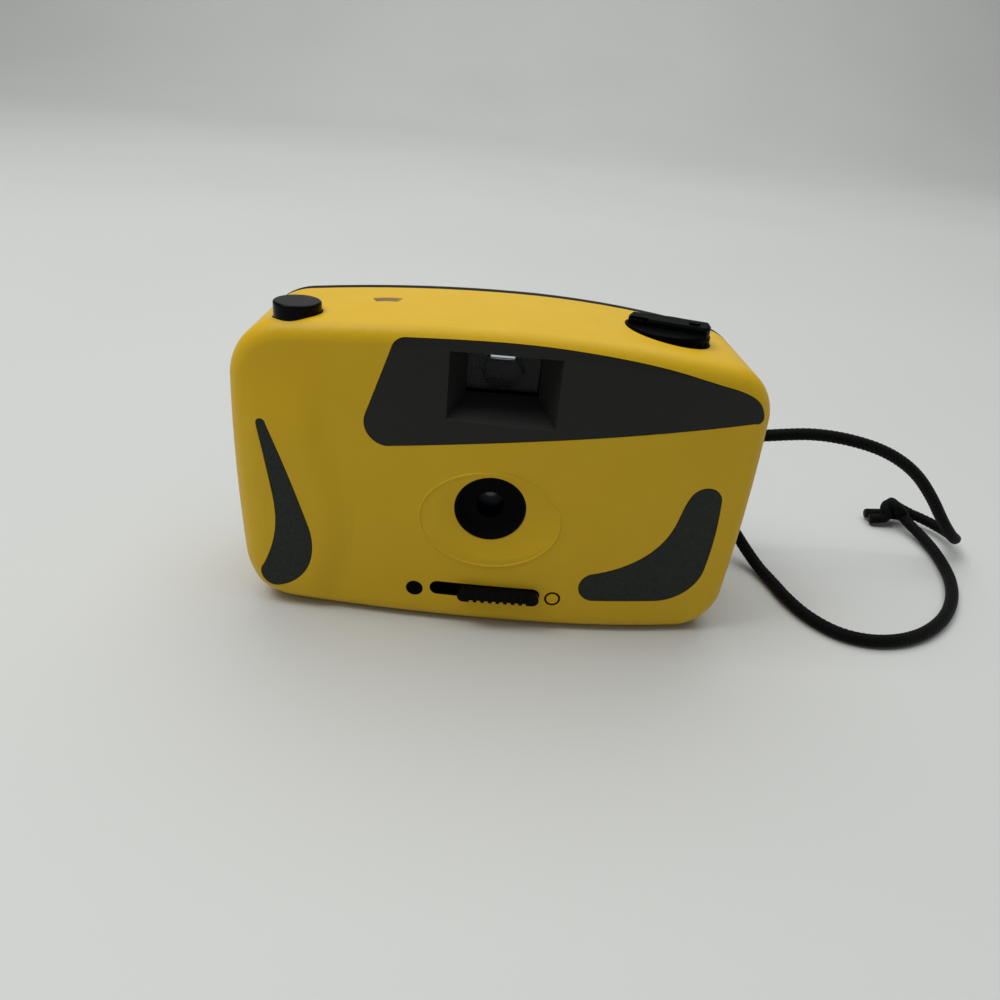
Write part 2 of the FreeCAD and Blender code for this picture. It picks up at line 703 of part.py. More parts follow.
def make_chassis():
    bottom = wall + fit_gap
    floor_z = chamber_floor_z - 1.4
    wide = 56.8
    back = film_y - 0.4
    plate_front = back - 2.0
    body = box(-wide, wide, plate_front, back, corner_bottom_left, deck_z)
    body = body.fuse(box(-wide + 9, wide - 6, plate_front, back, bottom, corner_bottom_left))
    # Film chambers.
    cart = cyl_z(cartridge_x, cartridge_y, cartridge_chamber_radius + chassis_wall, floor_z, deck_z)
    spool = cyl_z(spool_x, spool_y, spool_chamber_radius + chassis_wall, floor_z, deck_z)
    body = body.fuse(cart).fuse(spool.common(box(-beyond * 2, beyond, -beyond, back, 0, deck_z)))
    # Light box, from the gate to the plate that carries the lens.
    gate_low = lens_z - gate_height / 2
    gate_high = lens_z + gate_height / 2
    gate_left = lens_x - gate_width / 2
    gate_right = lens_x + gate_width / 2

    def frame(y, w, h):
        return Part.makePolygon([V(lens_x - w, y, lens_z - h), V(lens_x + w, y, lens_z - h),
                                 V(lens_x + w, y, lens_z + h), V(lens_x - w, y, lens_z + h),
                                 V(lens_x - w, y, lens_z - h)])

    t = chassis_wall
    gw = gate_width / 2
    gh = gate_height / 2
    small = 6.0
    outer = Part.makeLoft([frame(lens_plate_y, small + t, small + t), frame(plate_front, gw + t, gh + t)],
                          True, True)
    inner = Part.makeLoft([frame(lens_plate_y + t, small, small), frame(plate_front, gw, gh)], True, True)
    body = body.fuse(outer).fuse(box(-14, 13, lens_plate_y, lens_plate_y + t, 20, 50))
    body = body.cut(inner).cut(box(gate_left, gate_right, plate_front - 0.1, beyond, gate_low, gate_high))
    body = body.cut(cyl_y(lens_x, lens_z, 3.2, lens_plate_y - 1, lens_plate_y + t + 1))
    # Deck over the chambers and the film rails on each side of the gate.
    deck = box(-wide, wide, cartridge_y - 14.4, back, deck_z, deck_z + deck_thickness)
    deck = deck.cut(box(-beyond * 2, -14.5, -beyond, counter_y - 2.8, 0, 70))
    deck = deck.cut(box(finder_throat_left - 2.6, finder_throat_right + 2.6, -beyond, beyond, 50, 70))
    body = body.fuse(deck.common(cavity_block(0.3)))
    # Post of the counter dial and bosses under the shutter plate.
    body = body.fuse(cyl_z(counter_x, counter_y, 1.8, deck_z, dial_z - 0.2))
    body = body.fuse(cyl_z(counter_x, counter_y, dial_pin_radius, deck_z, dial_z + dial_thickness + 0.4))
    for x, z in plate_screws:
        body = body.fuse(cyl_y(x, z, 1.9, barrel_rear_y + shutter_plate_thickness, lens_plate_y + 0.5))
    for z in (gate_low - 1.0, gate_high):
        body = body.fuse(box(gate_left, gate_right, back - 0.1, film_y, z, z + 1.0))
    for z in (lens_z - film_width / 2 - 1.3, lens_z + film_width / 2 + 0.1):
        body = body.fuse(box(gate_left, gate_right, back - 0.1, film_y + 0.3, z, z + 1.2))
    # Rooms for the cartridge, the film roll and the sprocket.
    body = body.cut(cyl_z(cartridge_x, cartridge_y, cartridge_chamber_radius, chamber_floor_z, deck_z))
    body = body.cut(box(cartridge_x - cartridge_chamber_radius, cartridge_x + cartridge_chamber_radius,
                        cartridge_y, beyond, chamber_floor_z, deck_z))
    body = body.cut(cyl_z(spool_x, spool_y, spool_chamber_radius, chamber_floor_z, deck_z))
    body = body.cut(box(spool_x - spool_chamber_radius, spool_x + spool_chamber_radius, spool_y, beyond,
                        chamber_floor_z, deck_z))
    for side in (-1, 1):
        z = lens_z + side * sprocket_row
        half = sprocket_wheel_thickness / 2 + run_gap
        room = cyl_z(sprocket_x, sprocket_y, sprocket_radius + 1.2 + run_gap, z - half, z + half)
        body = body.cut(room)
    body = body.cut(cyl_z(sprocket_x, sprocket_y, sprocket_shaft_radius + 0.5, chamber_floor_z, deck_z))
    body = body.cut(box(sprocket_x - sprocket_shaft_radius - 0.5, sprocket_x + sprocket_shaft_radius + 0.5,
                        sprocket_y, beyond, lens_z - 18, lens_z + 18))
    # Sprocket bearing and its column, on the floor side.
    column = cyl_z(sprocket_x, sprocket_y, 4.0, bottom + 0.2, chamber_floor_z)
    body = body.fuse(column)
    for x, z in plate_screws:
        body = body.cut(cyl_y(x, z, screw_radius + 0.02, barrel_rear_y, lens_plate_y + 2.5))
    body = body.cut(cyl_y(blade_pivot[0], blade_pivot[1], 1.7, lens_plate_y - 1, lens_plate_y + 2.2))
    # Bores.
    for x, y, r in ((cartridge_x, cartridge_y, rewind_shaft_radius), (spool_x, spool_y, spool_shaft_radius),
                    (sprocket_x, sprocket_y, sprocket_shaft_radius)):
        body = body.cut(cyl_z(x, y, r + shaft_gap, deck_z - 1, deck_z + 5))
    body = body.cut(cyl_z(sprocket_x, sprocket_y, sprocket_shaft_radius + shaft_gap, 5.2, 20))
    body = body.cut(cyl_z(sprocket_x, sprocket_y, release_flange_radius + 0.1, 0, release_bore_top))
    body = body.cut(cyl_z(spool_x, spool_y, 1.2 + shaft_gap, floor_z - 1, chamber_floor_z + 1))
    for x, y in base_screws:
        body = body.fuse(cyl_z(x, y, 2.8, bottom, deck_z - 10).common(cavity_block(0.3)))
        body = body.cut(cyl_z(x, y, screw_radius + 0.02, 0, 10.5))
    body = body.cut(cyl_z(spool_x, spool_y, spool_chamber_radius, chamber_floor_z, deck_z))
    body = body.cut(cyl_z(cartridge_x, cartridge_y, cartridge_chamber_radius, chamber_floor_z, deck_z))
    body = body.common(cavity_block(fit_gap))
    save("film_chassis", one_solid(body))


def cavity_block(clearance):
    key = "cavity%.2f" % clearance
    if key not in shifted:
        shifted[key] = case_body(wall + clearance, front_wall + clearance, joint_y,
                                 edge_round - wall - clearance)
    return shifted[key]


def make_shutter():
    # Plate that carries the barrel, the shutter blade and the release lever.
    plate = box(-27.0, 14.0, barrel_rear_y, barrel_rear_y + shutter_plate_thickness, 20.5, 50.0)
    plate = plate.cut(cyl_y(lens_x, lens_z, 2.9, barrel_rear_y - 1, barrel_rear_y + 2))
    for x, z in (blade_pivot, lever_pivot):
        plate = plate.cut(cyl_y(x, z, 0.75 + 0.02, barrel_rear_y - 1, barrel_rear_y + 2))
    for x, z in plate_screws:
        plate = plate.cut(cyl_y(x, z, screw_radius + 0.1, barrel_rear_y - 1, barrel_rear_y + 2))
    save("shutter_plate", plate)


def rod_between(x0, z0, x1, z1, width, y0, y1):
    # A flat bar with round ends, lying in the front plane.
    angle = math.degrees(math.atan2(z1 - z0, x1 - x0))
    length = math.hypot(x1 - x0, z1 - z0)
    bar = box(x0, x0 + length, y0, y1, z0 - width / 2, z0 + width / 2)
    bar.rotate(V(x0, y0, z0), Y_AXIS, -angle)
    return fuse([bar, cyl_y(x0, z0, width / 2, y0, y1), cyl_y(x1, z1, width / 2, y0, y1)])


def pin_spring(x, z, y0):
    # A small torsion spring wound round a pin that points to the back.
    coil = spring_coil(0, 0, 0, pin_spring_height, 1.2, 0.28, 2)
    coil.rotate(V(0, 0, 0), X_AXIS, -90)
    coil.translate(V(x, y0, z))
    return coil


def make_shutter_parts():
    y0 = barrel_rear_y + shutter_plate_thickness + 0.2
    y1 = y0 + blade_thickness
    bx, bz = blade_pivot
    blade = fuse([cyl_y(lens_x, lens_z, 3.8, y0, y1), rod_between(bx, bz, lens_x, lens_z, 3.2, y0, y1),
                  rod_between(bx, bz, bx - 3.4, bz + 3.4, 2.2, y0, y1)])
    blade = blade.cut(cyl_y(bx, bz, 0.75 + shaft_gap, y0 - 1, y1 + 1))
    save("shutter_blade", one_solid(blade))
    pin = cyl_y(bx, bz, 0.75, barrel_rear_y - 0.3, y1 + 1.7)
    pin = pin.fuse(cyl_y(bx, bz, 1.5, barrel_rear_y - 0.6, barrel_rear_y))
    pin = pin.fuse(cyl_y(bx, bz, 1.4, y1 + 1.4, y1 + 1.7))
    save("blade_pin", one_solid(pin))
    save("blade_spring", pin_spring(bx, bz, y1 + 0.05))
    # Release lever in front of the plate, with a tab bent back under the button's stem.
    lx, lz = lever_pivot
    t0 = barrel_rear_y - 1.2
    t1 = barrel_rear_y - 0.4
    tab_top = button_stem_end - 0.4
    lever = fuse([
        rod_between(lx, lz, lx, lz - 9.0, 2.4, t0, t1),
        rod_between(lx, lz, -34.0, 52.5, 3.0, t0, t1),
        rod_between(-34.0, 52.5, button_x, tab_top - 1.8, 3.0, t0, t1),
        box(button_x - 1.5, button_x + 1.5, t0, t1, tab_top - 2.5, tab_top),
        box(button_x - 1.5, button_x + 1.5, t0 - 0.6, button_y + 1.3, tab_top - 0.8, tab_top),
        cyl_y(lx, lz, 2.2, t0, t1),
    ])
    lever = lever.cut(cyl_y(lx, lz, 0.75 + shaft_gap, t0 - 1, t1 + 1))
    save("release_lever", one_solid(lever))
    pin = cyl_y(lx, lz, 0.75, t0 - 1.7, barrel_rear_y + 1.0)
    pin = pin.fuse(cyl_y(lx, lz, 1.5, t0 - 2.1, t0 - 1.5))
    pin = pin.fuse(cyl_y(lx, lz, 1.1, t1 + 0.1, barrel_rear_y))
    save("lever_pin", one_solid(pin))
    save("lever_spring", pin_spring(lx, lz, t0 - pin_spring_height - 0.05))
    screws = []
    for x, z in plate_screws:
        shank = cyl_y(x, z, screw_radius, barrel_rear_y, lens_plate_y + 2.2)
        head = cyl_y(x, z, screw_head_radius, barrel_rear_y - 0.9, barrel_rear_y)
        slot = box(x - 1.4, x + 1.4, barrel_rear_y - 1.5, barrel_rear_y - 0.5, z - 0.25, z + 0.25)
        screws.append(shank.fuse(head).cut(slot))
    save("shutter_screws", Part.makeCompound(screws))


def make_button():
    top = button_base_z + button_height
    skirt = button_base_z - 1.6
    cap = cyl_z(button_x, button_y, button_radius, skirt, top)
    rim = [e for e in cap.Edges if abs(e.BoundBox.ZMin - top) < 0.01 and abs(e.BoundBox.ZMax - top) < 0.01]
    cap = cap.makeFillet(0.5, rim)
    cap = cap.cut(cyl_z(button_x, button_y, button_radius - 1.1, skirt - 1, top - 1.3))
    stem = cyl_z(button_x, button_y, button_stem_radius, button_stem_end, top - 1.0)
    save("shutter_button", one_solid(cap.fuse(stem)))
    spring = spring_coil(button_x, button_y, button_cup_floor + 1.0, top - 1.3, 2.9, 0.4, 4)
    save("button_spring", spring)


def make_sprocket():
    shaft = cyl_z(sprocket_x, sprocket_y, sprocket_shaft_radius, shaft_foot, dial_z + dial_thickness)
    parts = [shaft]
    for side in (-1, 1):
        z = lens_z + side * sprocket_row
        half = sprocket_wheel_thickness / 2
        parts.append(cyl_z(sprocket_x, sprocket_y, sprocket_radius, z - half, z + half))
        for index in range(sprocket_teeth):
            tooth = box(sprocket_radius - 0.5, sprocket_radius + 1.1, -0.75, 0.75, z - 0.8, z + 0.8)
            tooth.rotate(V(0, 0, 0), Z_AXIS, index * 360 / sprocket_teeth)
            tooth.translate(V(sprocket_x, sprocket_y, 0))
            parts.append(tooth)
    # Shutter cam and the one-toothed counter drive, near the top of the shaft.
    cam_z = dial_z - 4.2
    cam = cyl_z(sprocket_x, sprocket_y, 4.6, cam_z, cam_z + 1.8)
    cam = cam.cut(box(sprocket_x + 2.6, sprocket_x + 9, sprocket_y - 2, sprocket_y + 2,
                      cam_z - 1, cam_z + 3))
    parts.append(cam)
    to_dial = math.degrees(math.atan2(counter_y - sprocket_y, counter_x - sprocket_x))
    parts.append(cyl_z(sprocket_x, sprocket_y, 2.3, dial_z, dial_z + dial_thickness))
    gap = math.hypot(counter_y - sprocket_y, counter_x - sprocket_x)
    tip = gap - counter_radius - 0.12
    tooth = box(0, tip, -0.3, 0.3, dial_z, dial_z + dial_thickness)
    tooth.rotate(V(0, 0, 0), Z_AXIS, to_dial + 180)
    tooth.translate(V(sprocket_x, sprocket_y, 0))
    parts.append(tooth)
    save("sprocket_shaft", one_solid(fuse(parts)))
    # Frame counter dial with teeth that the drive tooth moves one at a time.
    dial = cyl_z(counter_x, counter_y, counter_radius - 1.0, dial_z, dial_z + dial_thickness)
    teeth = [dial]
    towards = to_dial + 180
    for index in range(counter_teeth):
        tooth = box(counter_radius - 1.6, counter_radius, -0.3, 0.3, dial_z, dial_z + dial_thickness)
        tooth.rotate(V(0, 0, 0), Z_AXIS, towards + index * 360 / counter_teeth)
        tooth.translate(V(counter_x, counter_y, 0))
        teeth.append(tooth)
    dial = fuse(teeth).cut(cyl_z(counter_x, counter_y, dial_pin_radius + shaft_gap, dial_z - 1, dial_z + 3))
    save("counter_dial", one_solid(dial))
    pane = counter_sector(-0.1).extrude(V(0, 0, 20)).common(skin)
    lens = pane.common(box(-60, 0, -30, 30, top_surface(counter_x) - 2.4, 90))
    save("counter_window", one_solid(lens))


def make_release():
    button = fuse([
        cyl_z(sprocket_x, sprocket_y, release_radius, 0.4, 2.6),
        cyl_z(sprocket_x, sprocket_y, release_flange_radius, wall + 0.15, wall + 0.9),
        cyl_z(sprocket_x, sprocket_y, 1.8, wall + 0.9, 4.2),
    ])
    save("rewind_release", one_solid(button))
    save("release_spring", spring_coil(sprocket_x, sprocket_y, wall + 0.9, release_bore_top, 2.4, 0.35, 3))


def make_take_up():
    low = chamber_floor_z + 0.6
    high = deck_z - 1.4
    t = 1.2
    spool = fuse([
        cyl_z(spool_x, spool_y, spool_core_radius, low, high),
        cyl_z(spool_x, spool_y, spool_flange_radius, low, low + t),
        cyl_z(spool_x, spool_y, spool_flange_radius, high - t, high),
        cyl_z(spool_x, spool_y, spool_shaft_radius, high, wheel_z + wheel_thickness - 0.6),
        cyl_z(spool_x, spool_y, 1.2, chamber_floor_z - 1.2, low),
    ])
    spool = spool.cut(cyl_z(spool_x, spool_y, spool_core_radius - 1.4, low + t, high - t))
    for angle in (0, 120, 240):
        slot = box(0, spool_core_radius + 1, -1.2, 1.2, lens_z - 15, lens_z + 15)
        slot.rotate(V(0, 0, 0), Z_AXIS, angle + 20)
        slot.translate(V(spool_x, spool_y, 0))
        spool = spool.cut(slot)
    save("take_up_spool", one_solid(spool))
    # Thumbwheel with a knurled rim, keyed to the top of the spool.
    wheel = cyl_z(spool_x, spool_y, wheel_radius, wheel_z, wheel_z + wheel_thickness)
    edges = [e for e in wheel.Edges if e.BoundBox.ZLength < 0.01]
    wheel = wheel.makeFillet(0.5, edges)
    notch_radius = 0.5
    for index in range(wheel_knurls):
        px, py = polar((spool_x, spool_y), wheel_radius + 0.15, (index + 0.5) * 360 / wheel_knurls)
        wheel = wheel.cut(cyl_z(px, py, notch_radius, wheel_z - 1, wheel_z + wheel_thickness + 1))
    recess = ring_z(spool_x, spool_y, wheel_radius - 2.4, 4.6, wheel_z + wheel_thickness - 1.4,
                    wheel_z + 10)
    wheel = wheel.cut(recess)
    wheel = wheel.cut(cyl_z(spool_x, spool_y, spool_shaft_radius + 0.02, wheel_z - 1, wheel_z + 10))
    wheel = wheel.cut(cyl_z(spool_x, spool_y, 3.5, wheel_z + wheel_thickness - 0.6, wheel_z + 10))
    save("advance_wheel", one_solid(wheel))
    top = wheel_z + wheel_thickness - 0.6
    screw = cyl_z(spool_x, spool_y, 3.4, top, top + 1.2)
    screw = screw.cut(box(spool_x - 4, spool_x + 4, spool_y - 0.35, spool_y + 0.35, top + 0.6, top + 2))
    save("wheel_screw", one_solid(screw))
    # Pawl that clicks over the rim, on a pin in the deck.
    z0 = wheel_z + 1.6
    z1 = z0 + 1.6
    px, py = pawl_pivot
    nose_angle = 37.5 + 270
    nx, ny = polar((spool_x, spool_y), wheel_radius + 0.62, nose_angle)
    arm_angle = math.degrees(math.atan2(ny - py, nx - px))
    arm_length = math.hypot(nx - px, ny - py)
    arm = box(px, px + arm_length, py - 0.8, py + 0.8, z0, z1)
    arm.rotate(V(px, py, z0), Z_AXIS, arm_angle)
    nose = cyl_z(nx, ny, 0.45, z0, z1)
    pawl = fuse([arm, cyl_z(px, py, 1.7, z0, z1), nose])
    guard = ring_z(spool_x, spool_y, 40, wheel_radius + 0.17, z0 - 1, z1 + 1)
    pawl = pawl.common(guard).cut(cyl_z(px, py, 0.8 + shaft_gap, z0 - 1, z1 + 1))
    save("advance_pawl", one_solid(pawl))
    pin = cyl_z(px, py, 0.8, deck_z + deck_thickness, z1 + 0.6).fuse(cyl_z(px, py, 1.4, z1 + 0.3, z1 + 0.9))
    pin = pin.fuse(cyl_z(px, py, 1.6, deck_z + deck_thickness, z0 - 1.15))
    save("pawl_pin", one_solid(pin))
    save("pawl_spring", spring_coil(px, py, z0 - 1.1, z0 - 0.05, 1.2, 0.28, 2))


def turned_box(x, y, angle, length, width, z0, z1):
    block = box(-length / 2, length / 2, -width / 2, width / 2, z0, z1)
    block.rotate(V(0, 0, 0), Z_AXIS, angle)
    block.translate(V(x, y, 0))
    return block


def crank_point(along, across=0.0):
    angle = math.radians(crank_turn)
    return (cartridge_x + along * math.cos(angle) - across * math.sin(angle),
            cartridge_y + along * math.sin(angle) + across * math.cos(angle))


def make_rewind():
    rim_z = knob_top_z + 1.2
    knob = cyl_z(cartridge_x, cartridge_y, knob_radius, well_floor_z + run_gap, rim_z)
    edges = [e for e in knob.Edges if e.BoundBox.ZLength < 0.01 and e.BoundBox.ZMin > rim_z - 0.01]
    knob = knob.makeFillet(0.5, edges)
    knob = knob.cut(turned_box(cartridge_x, cartridge_y, crank_turn, 30, crank_width + 0.6, knob_top_z, 90))
    # Hollow for the handle under the lever's free end, and fine grip flutes round the rim.
    hx, hy = crank_point(handle_along)
    knob = knob.cut(cyl_z(hx, hy, handle_radius + 0.4, knob_top_z - handle_height - 0.5, 90))
    for index in range(24):
        fx, fy = polar((cartridge_x, cartridge_y), knob_radius + 0.45, (index + 0.5) * 15)
        knob = knob.cut(cyl_z(fx, fy, 0.8, well_floor_z, knob_top_z - 0.4))
    for side in (-1, 1):
        ex, ey = crank_point(-pivot_along, side * (crank_width / 2 - 0.4))
        cheek = turned_box(ex, ey, crank_turn, 3.0, 1.2, knob_top_z - 0.1, pivot_z + 0.9)
        knob = knob.fuse(cheek)
    knob = knob.cut(pin_across(pivot_radius + 0.02, crank_width - 0.06))
    knob = knob.cut(pin_across(2.5, crank_width - 2.1))
    # The drive shaft ends in a fork that enters the film cartridge's spool.
    shaft = cyl_z(cartridge_x, cartridge_y, rewind_shaft_radius, fork_z, well_floor_z + 2.6)
    shaft = shaft.cut(box(cartridge_x - 0.9, cartridge_x + 0.9, cartridge_y - 5, cartridge_y + 5,
                          fork_z - 1, fork_z + 4.6))
    keyway = box(cartridge_x + rewind_shaft_radius - 0.6, cartridge_x + 4, cartridge_y - 0.45,
                 cartridge_y + 0.45, fork_z - 1, well_floor_z + run_gap)
    shaft = shaft.cut(keyway)
    socket = cyl_z(cartridge_x, cartridge_y, rewind_shaft_radius + 0.02, well_floor_z, well_floor_z + 2.62)
    save("rewind_knob", one_solid(knob.cut(socket)))
    save("rewind_shaft", one_solid(shaft))
    washer = ring_z(cartridge_x, cartridge_y, 5.2, rewind_shaft_radius + shaft_gap, washer_z,
                    washer_z + 1.0)
    tab = box(cartridge_x + rewind_shaft_radius - 0.45, cartridge_x + rewind_shaft_radius + 0.6,
              cartridge_y - 0.35, cartridge_y + 0.35, washer_z, washer_z + 1.0)
    save("rewind_drag_washer", one_solid(washer.fuse(tab)))
    # Folding crank lever: a bar with round ends, narrowed between the cheeks that hold its pin.
    z0 = knob_top_z + 0.15
    z1 = z0 + crank_thickness
    half = crank_length / 2
    disc = cyl_z(0, 0, half, z0, z1)
    disc.rotate(V(0, 0, 0), Z_AXIS, 90)
    lever = box(-half - 1, half + 1, -crank_width / 2, crank_width / 2, z0, z1).common(disc)
    top = [e for e in lever.Edges if e.BoundBox.ZLength < 0.01 and e.BoundBox.ZMin > z1 - 0.01]
    lever = lever.makeChamfer(0.5, top)
    for side in (-1, 1):
        y = side * (crank_width / 2 - 0.4)
        lever = lever.cut(box(-half - 1, -pivot_along + 2.4, y - 0.85, y + 0.85, z0 - 1, z1 + 1))
    lever = lever.cut(box(-half - 1, -half + 0.8, -crank_width, crank_width, z0 - 1, z0 + 0.8))
    lever.rotate(V(0, 0, 0), Z_AXIS, crank_turn)
    lever.translate(V(cartridge_x, cartridge_y, 0))
    lever = lever.cut(pin_across(pivot_radius + shaft_gap, 12))
    lever = lever.cut(cyl_z(hx, hy, 0.8 + shaft_gap, z0 - 1, z1 + 1))
    save("rewind_crank", one_solid(lever))
    save("crank_pin", pin_across(pivot_radius, crank_width - 0.1))
    handle = fuse([
        cyl_z(hx, hy, handle_radius, z0 - 0.1 - handle_height, z0 - 0.1),
        cyl_z(hx, hy, 0.8, z0 - 0.2, z1 + 0.15),
        cyl_z(hx, hy, 1.3, z1 + 0.05, z1 + 0.35),
    ])
    save("crank_handle", one_solid(handle))


def pin_across(radius, length):
    # The crank's hinge pin, square to the lever and level.
    x, y = crank_point(-pivot_along, -length / 2)
    angle = math.radians(crank_turn + 90)
    return Part.makeCylinder(radius, length, V(x, y, pivot_z), V(math.cos(angle), math.sin(angle), 0))


def make_rear_frame():
    outer = rear_body(0, joint_y, rear_y, rear_round)
    room = Part.Face(case_outline(wall)).extrude(V(0, rear_y - wall - joint_y + 5, 0))
    room.translate(V(0, joint_y - 5, 0))
    inner = rear_body(wall, joint_y - 5, rear_y - wall, rear_round - wall)
    frame = outer.cut(inner)
    # Lip that centres the frame in the front cover.
    lip_outer = Part.Face(case_outline(wall + fit_gap)).extrude(V(0, 1.1, 0))
    lip_inner = Part.Face(case_outline(wall + fit_gap + 1.0)).extrude(V(0, 3.0, 0))
    lip_outer.translate(V(0, joint_y - 1.0, 0))
    lip_inner.translate(V(0, joint_y - 2.0, 0))
    frame = frame.fuse(lip_outer.cut(lip_inner))
    frame = frame.fuse(box(door_right + 0.3, half_width - 3.2, joint_y, rear_y - 1.5,
                           14.0, 60.0).common(outer))
    frame = frame.fuse(box(2.7 - half_width, half_width - 3.2, joint_y, rear_y - 1.0, wall,
                           door_bottom - 0.3).common(outer))
    frame = frame.fuse(box(2.7 - half_width, half_width - 3.2, joint_y + 4.6, rear_y - 1.0,
                           door_top + 0.3, door_top + 2.4).common(outer))
    # Doorway.
    frame = frame.cut(box(door_left - 0.3, door_right + 0.3, joint_y - 0.5, beyond, door_bottom - 0.3,
                          door_top + 0.3))
    frame = frame.cut(box(hinge_x - knuckle_radius - 0.35, door_left + 1, hinge_y - knuckle_radius - 0.35,
                          beyond, door_bottom - 0.3, door_top + 0.3))
    # Gutter in which the hinge barrel and the door's edge turn, and ears for the hinge pin.
    frame = frame.cut(cyl_z(hinge_x, hinge_y, 3.5, door_bottom - 0.3, door_top + 0.3))
    for z0, z1 in ((door_bottom - 3.2, door_bottom - 0.3), (door_top + 0.3, door_top + 3.2)):
        ear = cyl_z(hinge_x, hinge_y, knuckle_radius, z0, z1).common(outer)
        frame = frame.fuse(ear)
    frame = frame.cut(cyl_z(hinge_x, hinge_y, hinge_pin_radius + 0.02, door_bottom - 1.2, door_top + 2.6))
    # Eyepiece, thumbwheel slot and the strap lug's notch.
    ex = (finder_throat_right + finder_throat_left) / 2
    frame = frame.cut(box(ex - eyepiece_width / 2, ex + eyepiece_width / 2, rear_y - 8, beyond,
                          eyepiece_z - eyepiece_height / 2, eyepiece_z + eyepiece_height / 2))
    rim = box(ex - eyepiece_width / 2 - 1.6, ex + eyepiece_width / 2 + 1.6, rear_y - 0.1,
              rear_y + eyepiece_rim, eyepiece_z - eyepiece_height / 2 - 1.6,
              eyepiece_z + eyepiece_height / 2 + 1.6)
    rim = rim.makeFillet(1.2, [e for e in rim.Edges if e.BoundBox.YLength > 0.5])
    rim = rim.cut(box(ex - eyepiece_width / 2, ex + eyepiece_width / 2, rear_y - 1, beyond,
                      eyepiece_z - eyepiece_height / 2, eyepiece_z + eyepiece_height / 2))
    frame = frame.fuse(rim)
    chord = math.sqrt(wheel_radius ** 2 - (rear_y - wall - 1.2 - spool_y) ** 2) + run_gap
    frame = frame.cut(box(spool_x - chord, spool_x + chord, rear_y - 3.3, beyond, wheel_z - run_gap,
                          wheel_z + wheel_thickness + run_gap))
    frame = frame.cut(cyl_z(spool_x, spool_y, wheel_radius + run_gap, wheel_z - run_gap,
                            wheel_z + wheel_thickness + run_gap))
    outer_reach = hitch_radius + cord_diameter / 2 + run_gap
    half = cord_diameter / 2 + 0.2
    frame = frame.cut(box(lug_x - outer_reach, beyond * 2, lug_y - half, lug_y + half, lug_z - outer_reach,
                          lug_z + outer_reach))
    frame = frame.cut(cyl_y(lug_x, lug_z, lug_pin_radius + 0.02, lug_front_end, lug_rear_end))
    # Keeper of the door latch.
    frame = frame.cut(box(door_right, door_right + 2.4, rear_y - 3.8, rear_y - 2.3,
                          latch_z - 1.8 - latch_travel, latch_z + 1.8))
    save("rear_frame", one_solid(frame))
    save("strap_lug_pin", cyl_y(lug_x, lug_z, lug_pin_radius, lug_front_end + 0.05, lug_rear_end - 0.05))


def make_door():
    door = box(door_left, door_right, rear_y - door_thickness, rear_y, door_bottom, door_top)
    corners = [e for e in door.Edges if e.BoundBox.YLength > 1 and e.BoundBox.XMin > door_right - 0.1]
    door = door.makeFillet(1.5, corners)
    inset = 1.0
    t = 0.8
    front = joint_y + 0.5
    rib_top = door_top - 2 * inset
    rib_outer = box(door_left + inset, door_right - inset, front, rear_y - 1, door_bottom + inset,
                    rib_top)
    rib_inner = box(door_left + inset + t, door_right - inset - t, front - 1, rear_y,
                    door_bottom + inset + t, rib_top - t)
    door = door.fuse(rib_outer.cut(rib_inner))
    # Hinge barrel along the edge, joined by a web.
    barrel = cyl_z(hinge_x, hinge_y, knuckle_radius, door_bottom, door_top)
    web = box(hinge_x, door_left + 1.0, hinge_y - 0.6, hinge_y + knuckle_radius - 0.1, door_bottom,
              door_top)
    door = fuse([door, barrel, web])
    door = door.cut(cyl_z(hinge_x, hinge_y, hinge_pin_radius + shaft_gap, door_bottom - 1, door_top + 1))
    # Film window, grip grooves by the latch, and hooks for the pressure plate.
    door = door.cut(slot_window(0.0, rear_y - 4, rear_y + 1))
    door = door.cut(slot_window(0.8, rear_y - 4, rear_y - 1.2))
    for index in range(5):
        x = door_right - 3.0 - index * 1.6
        door = door.cut(box(x - 0.4, x + 0.4, rear_y - 0.5, rear_y + 1, latch_z + 8.0, latch_z + 18.0))
    for px, pz in plate_posts:
        door = door.fuse(cyl_y(px, pz, 1.1, plate_y - 0.05, rear_y - 1))
        door = door.fuse(cyl_y(px, pz, 1.1, plate_y + plate_thickness + plate_travel + 0.15, rear_y - 1))
    # Track of the latch on the outside, and its two rails and the spring's seat on the inside.
    low = latch_z - 4.1 - latch_travel
    door = door.cut(box(latch_x - 2.1, latch_x + 2.1, rear_y - 1.2, rear_y + 1, low, latch_z + 4.1))
    inside = rear_y - door_thickness
    rails = box(latch_x - 2.6, latch_x + 2.2, inside - 1.6, inside + 0.1, latch_z - 7.8, latch_z + 4.0)
    rails = rails.cut(box(latch_x - 1.9, latch_x + 1.9, inside - 5, inside, latch_z - 7.2, latch_z + 3.3))
    door = door.fuse(rails)
    door = door.cut(box(latch_x - 1.1, latch_x + 1.1, rear_y - 3, rear_y, latch_z - 1.6 - latch_travel,
                        latch_z + 1.6))
    door = door.cut(box(latch_x, door_right + 1, inside - 1.7, inside - 0.2, latch_z - 1.6 - latch_travel,
                        latch_z + 1.6))
    save("film_door", one_solid(door))
    pin = cyl_z(hinge_x, hinge_y, hinge_pin_radius, door_bottom - 1.1, door_top + 2.5)
    save("door_hinge_pin", pin)
    save("film_window", slot_window(0.7, rear_y - door_thickness + 0.1, rear_y - 1.25))


def slot_window(grow, y0, y1):
    half_w = 2.8 + grow
    half_h = 11.0 + grow
    block = box(cartridge_x - half_w, cartridge_x + half_w, y0, y1, lens_z - half_h, lens_z + half_h)
    return block.makeFillet(1.2, [e for e in block.Edges if e.BoundBox.YLength > 0.4])


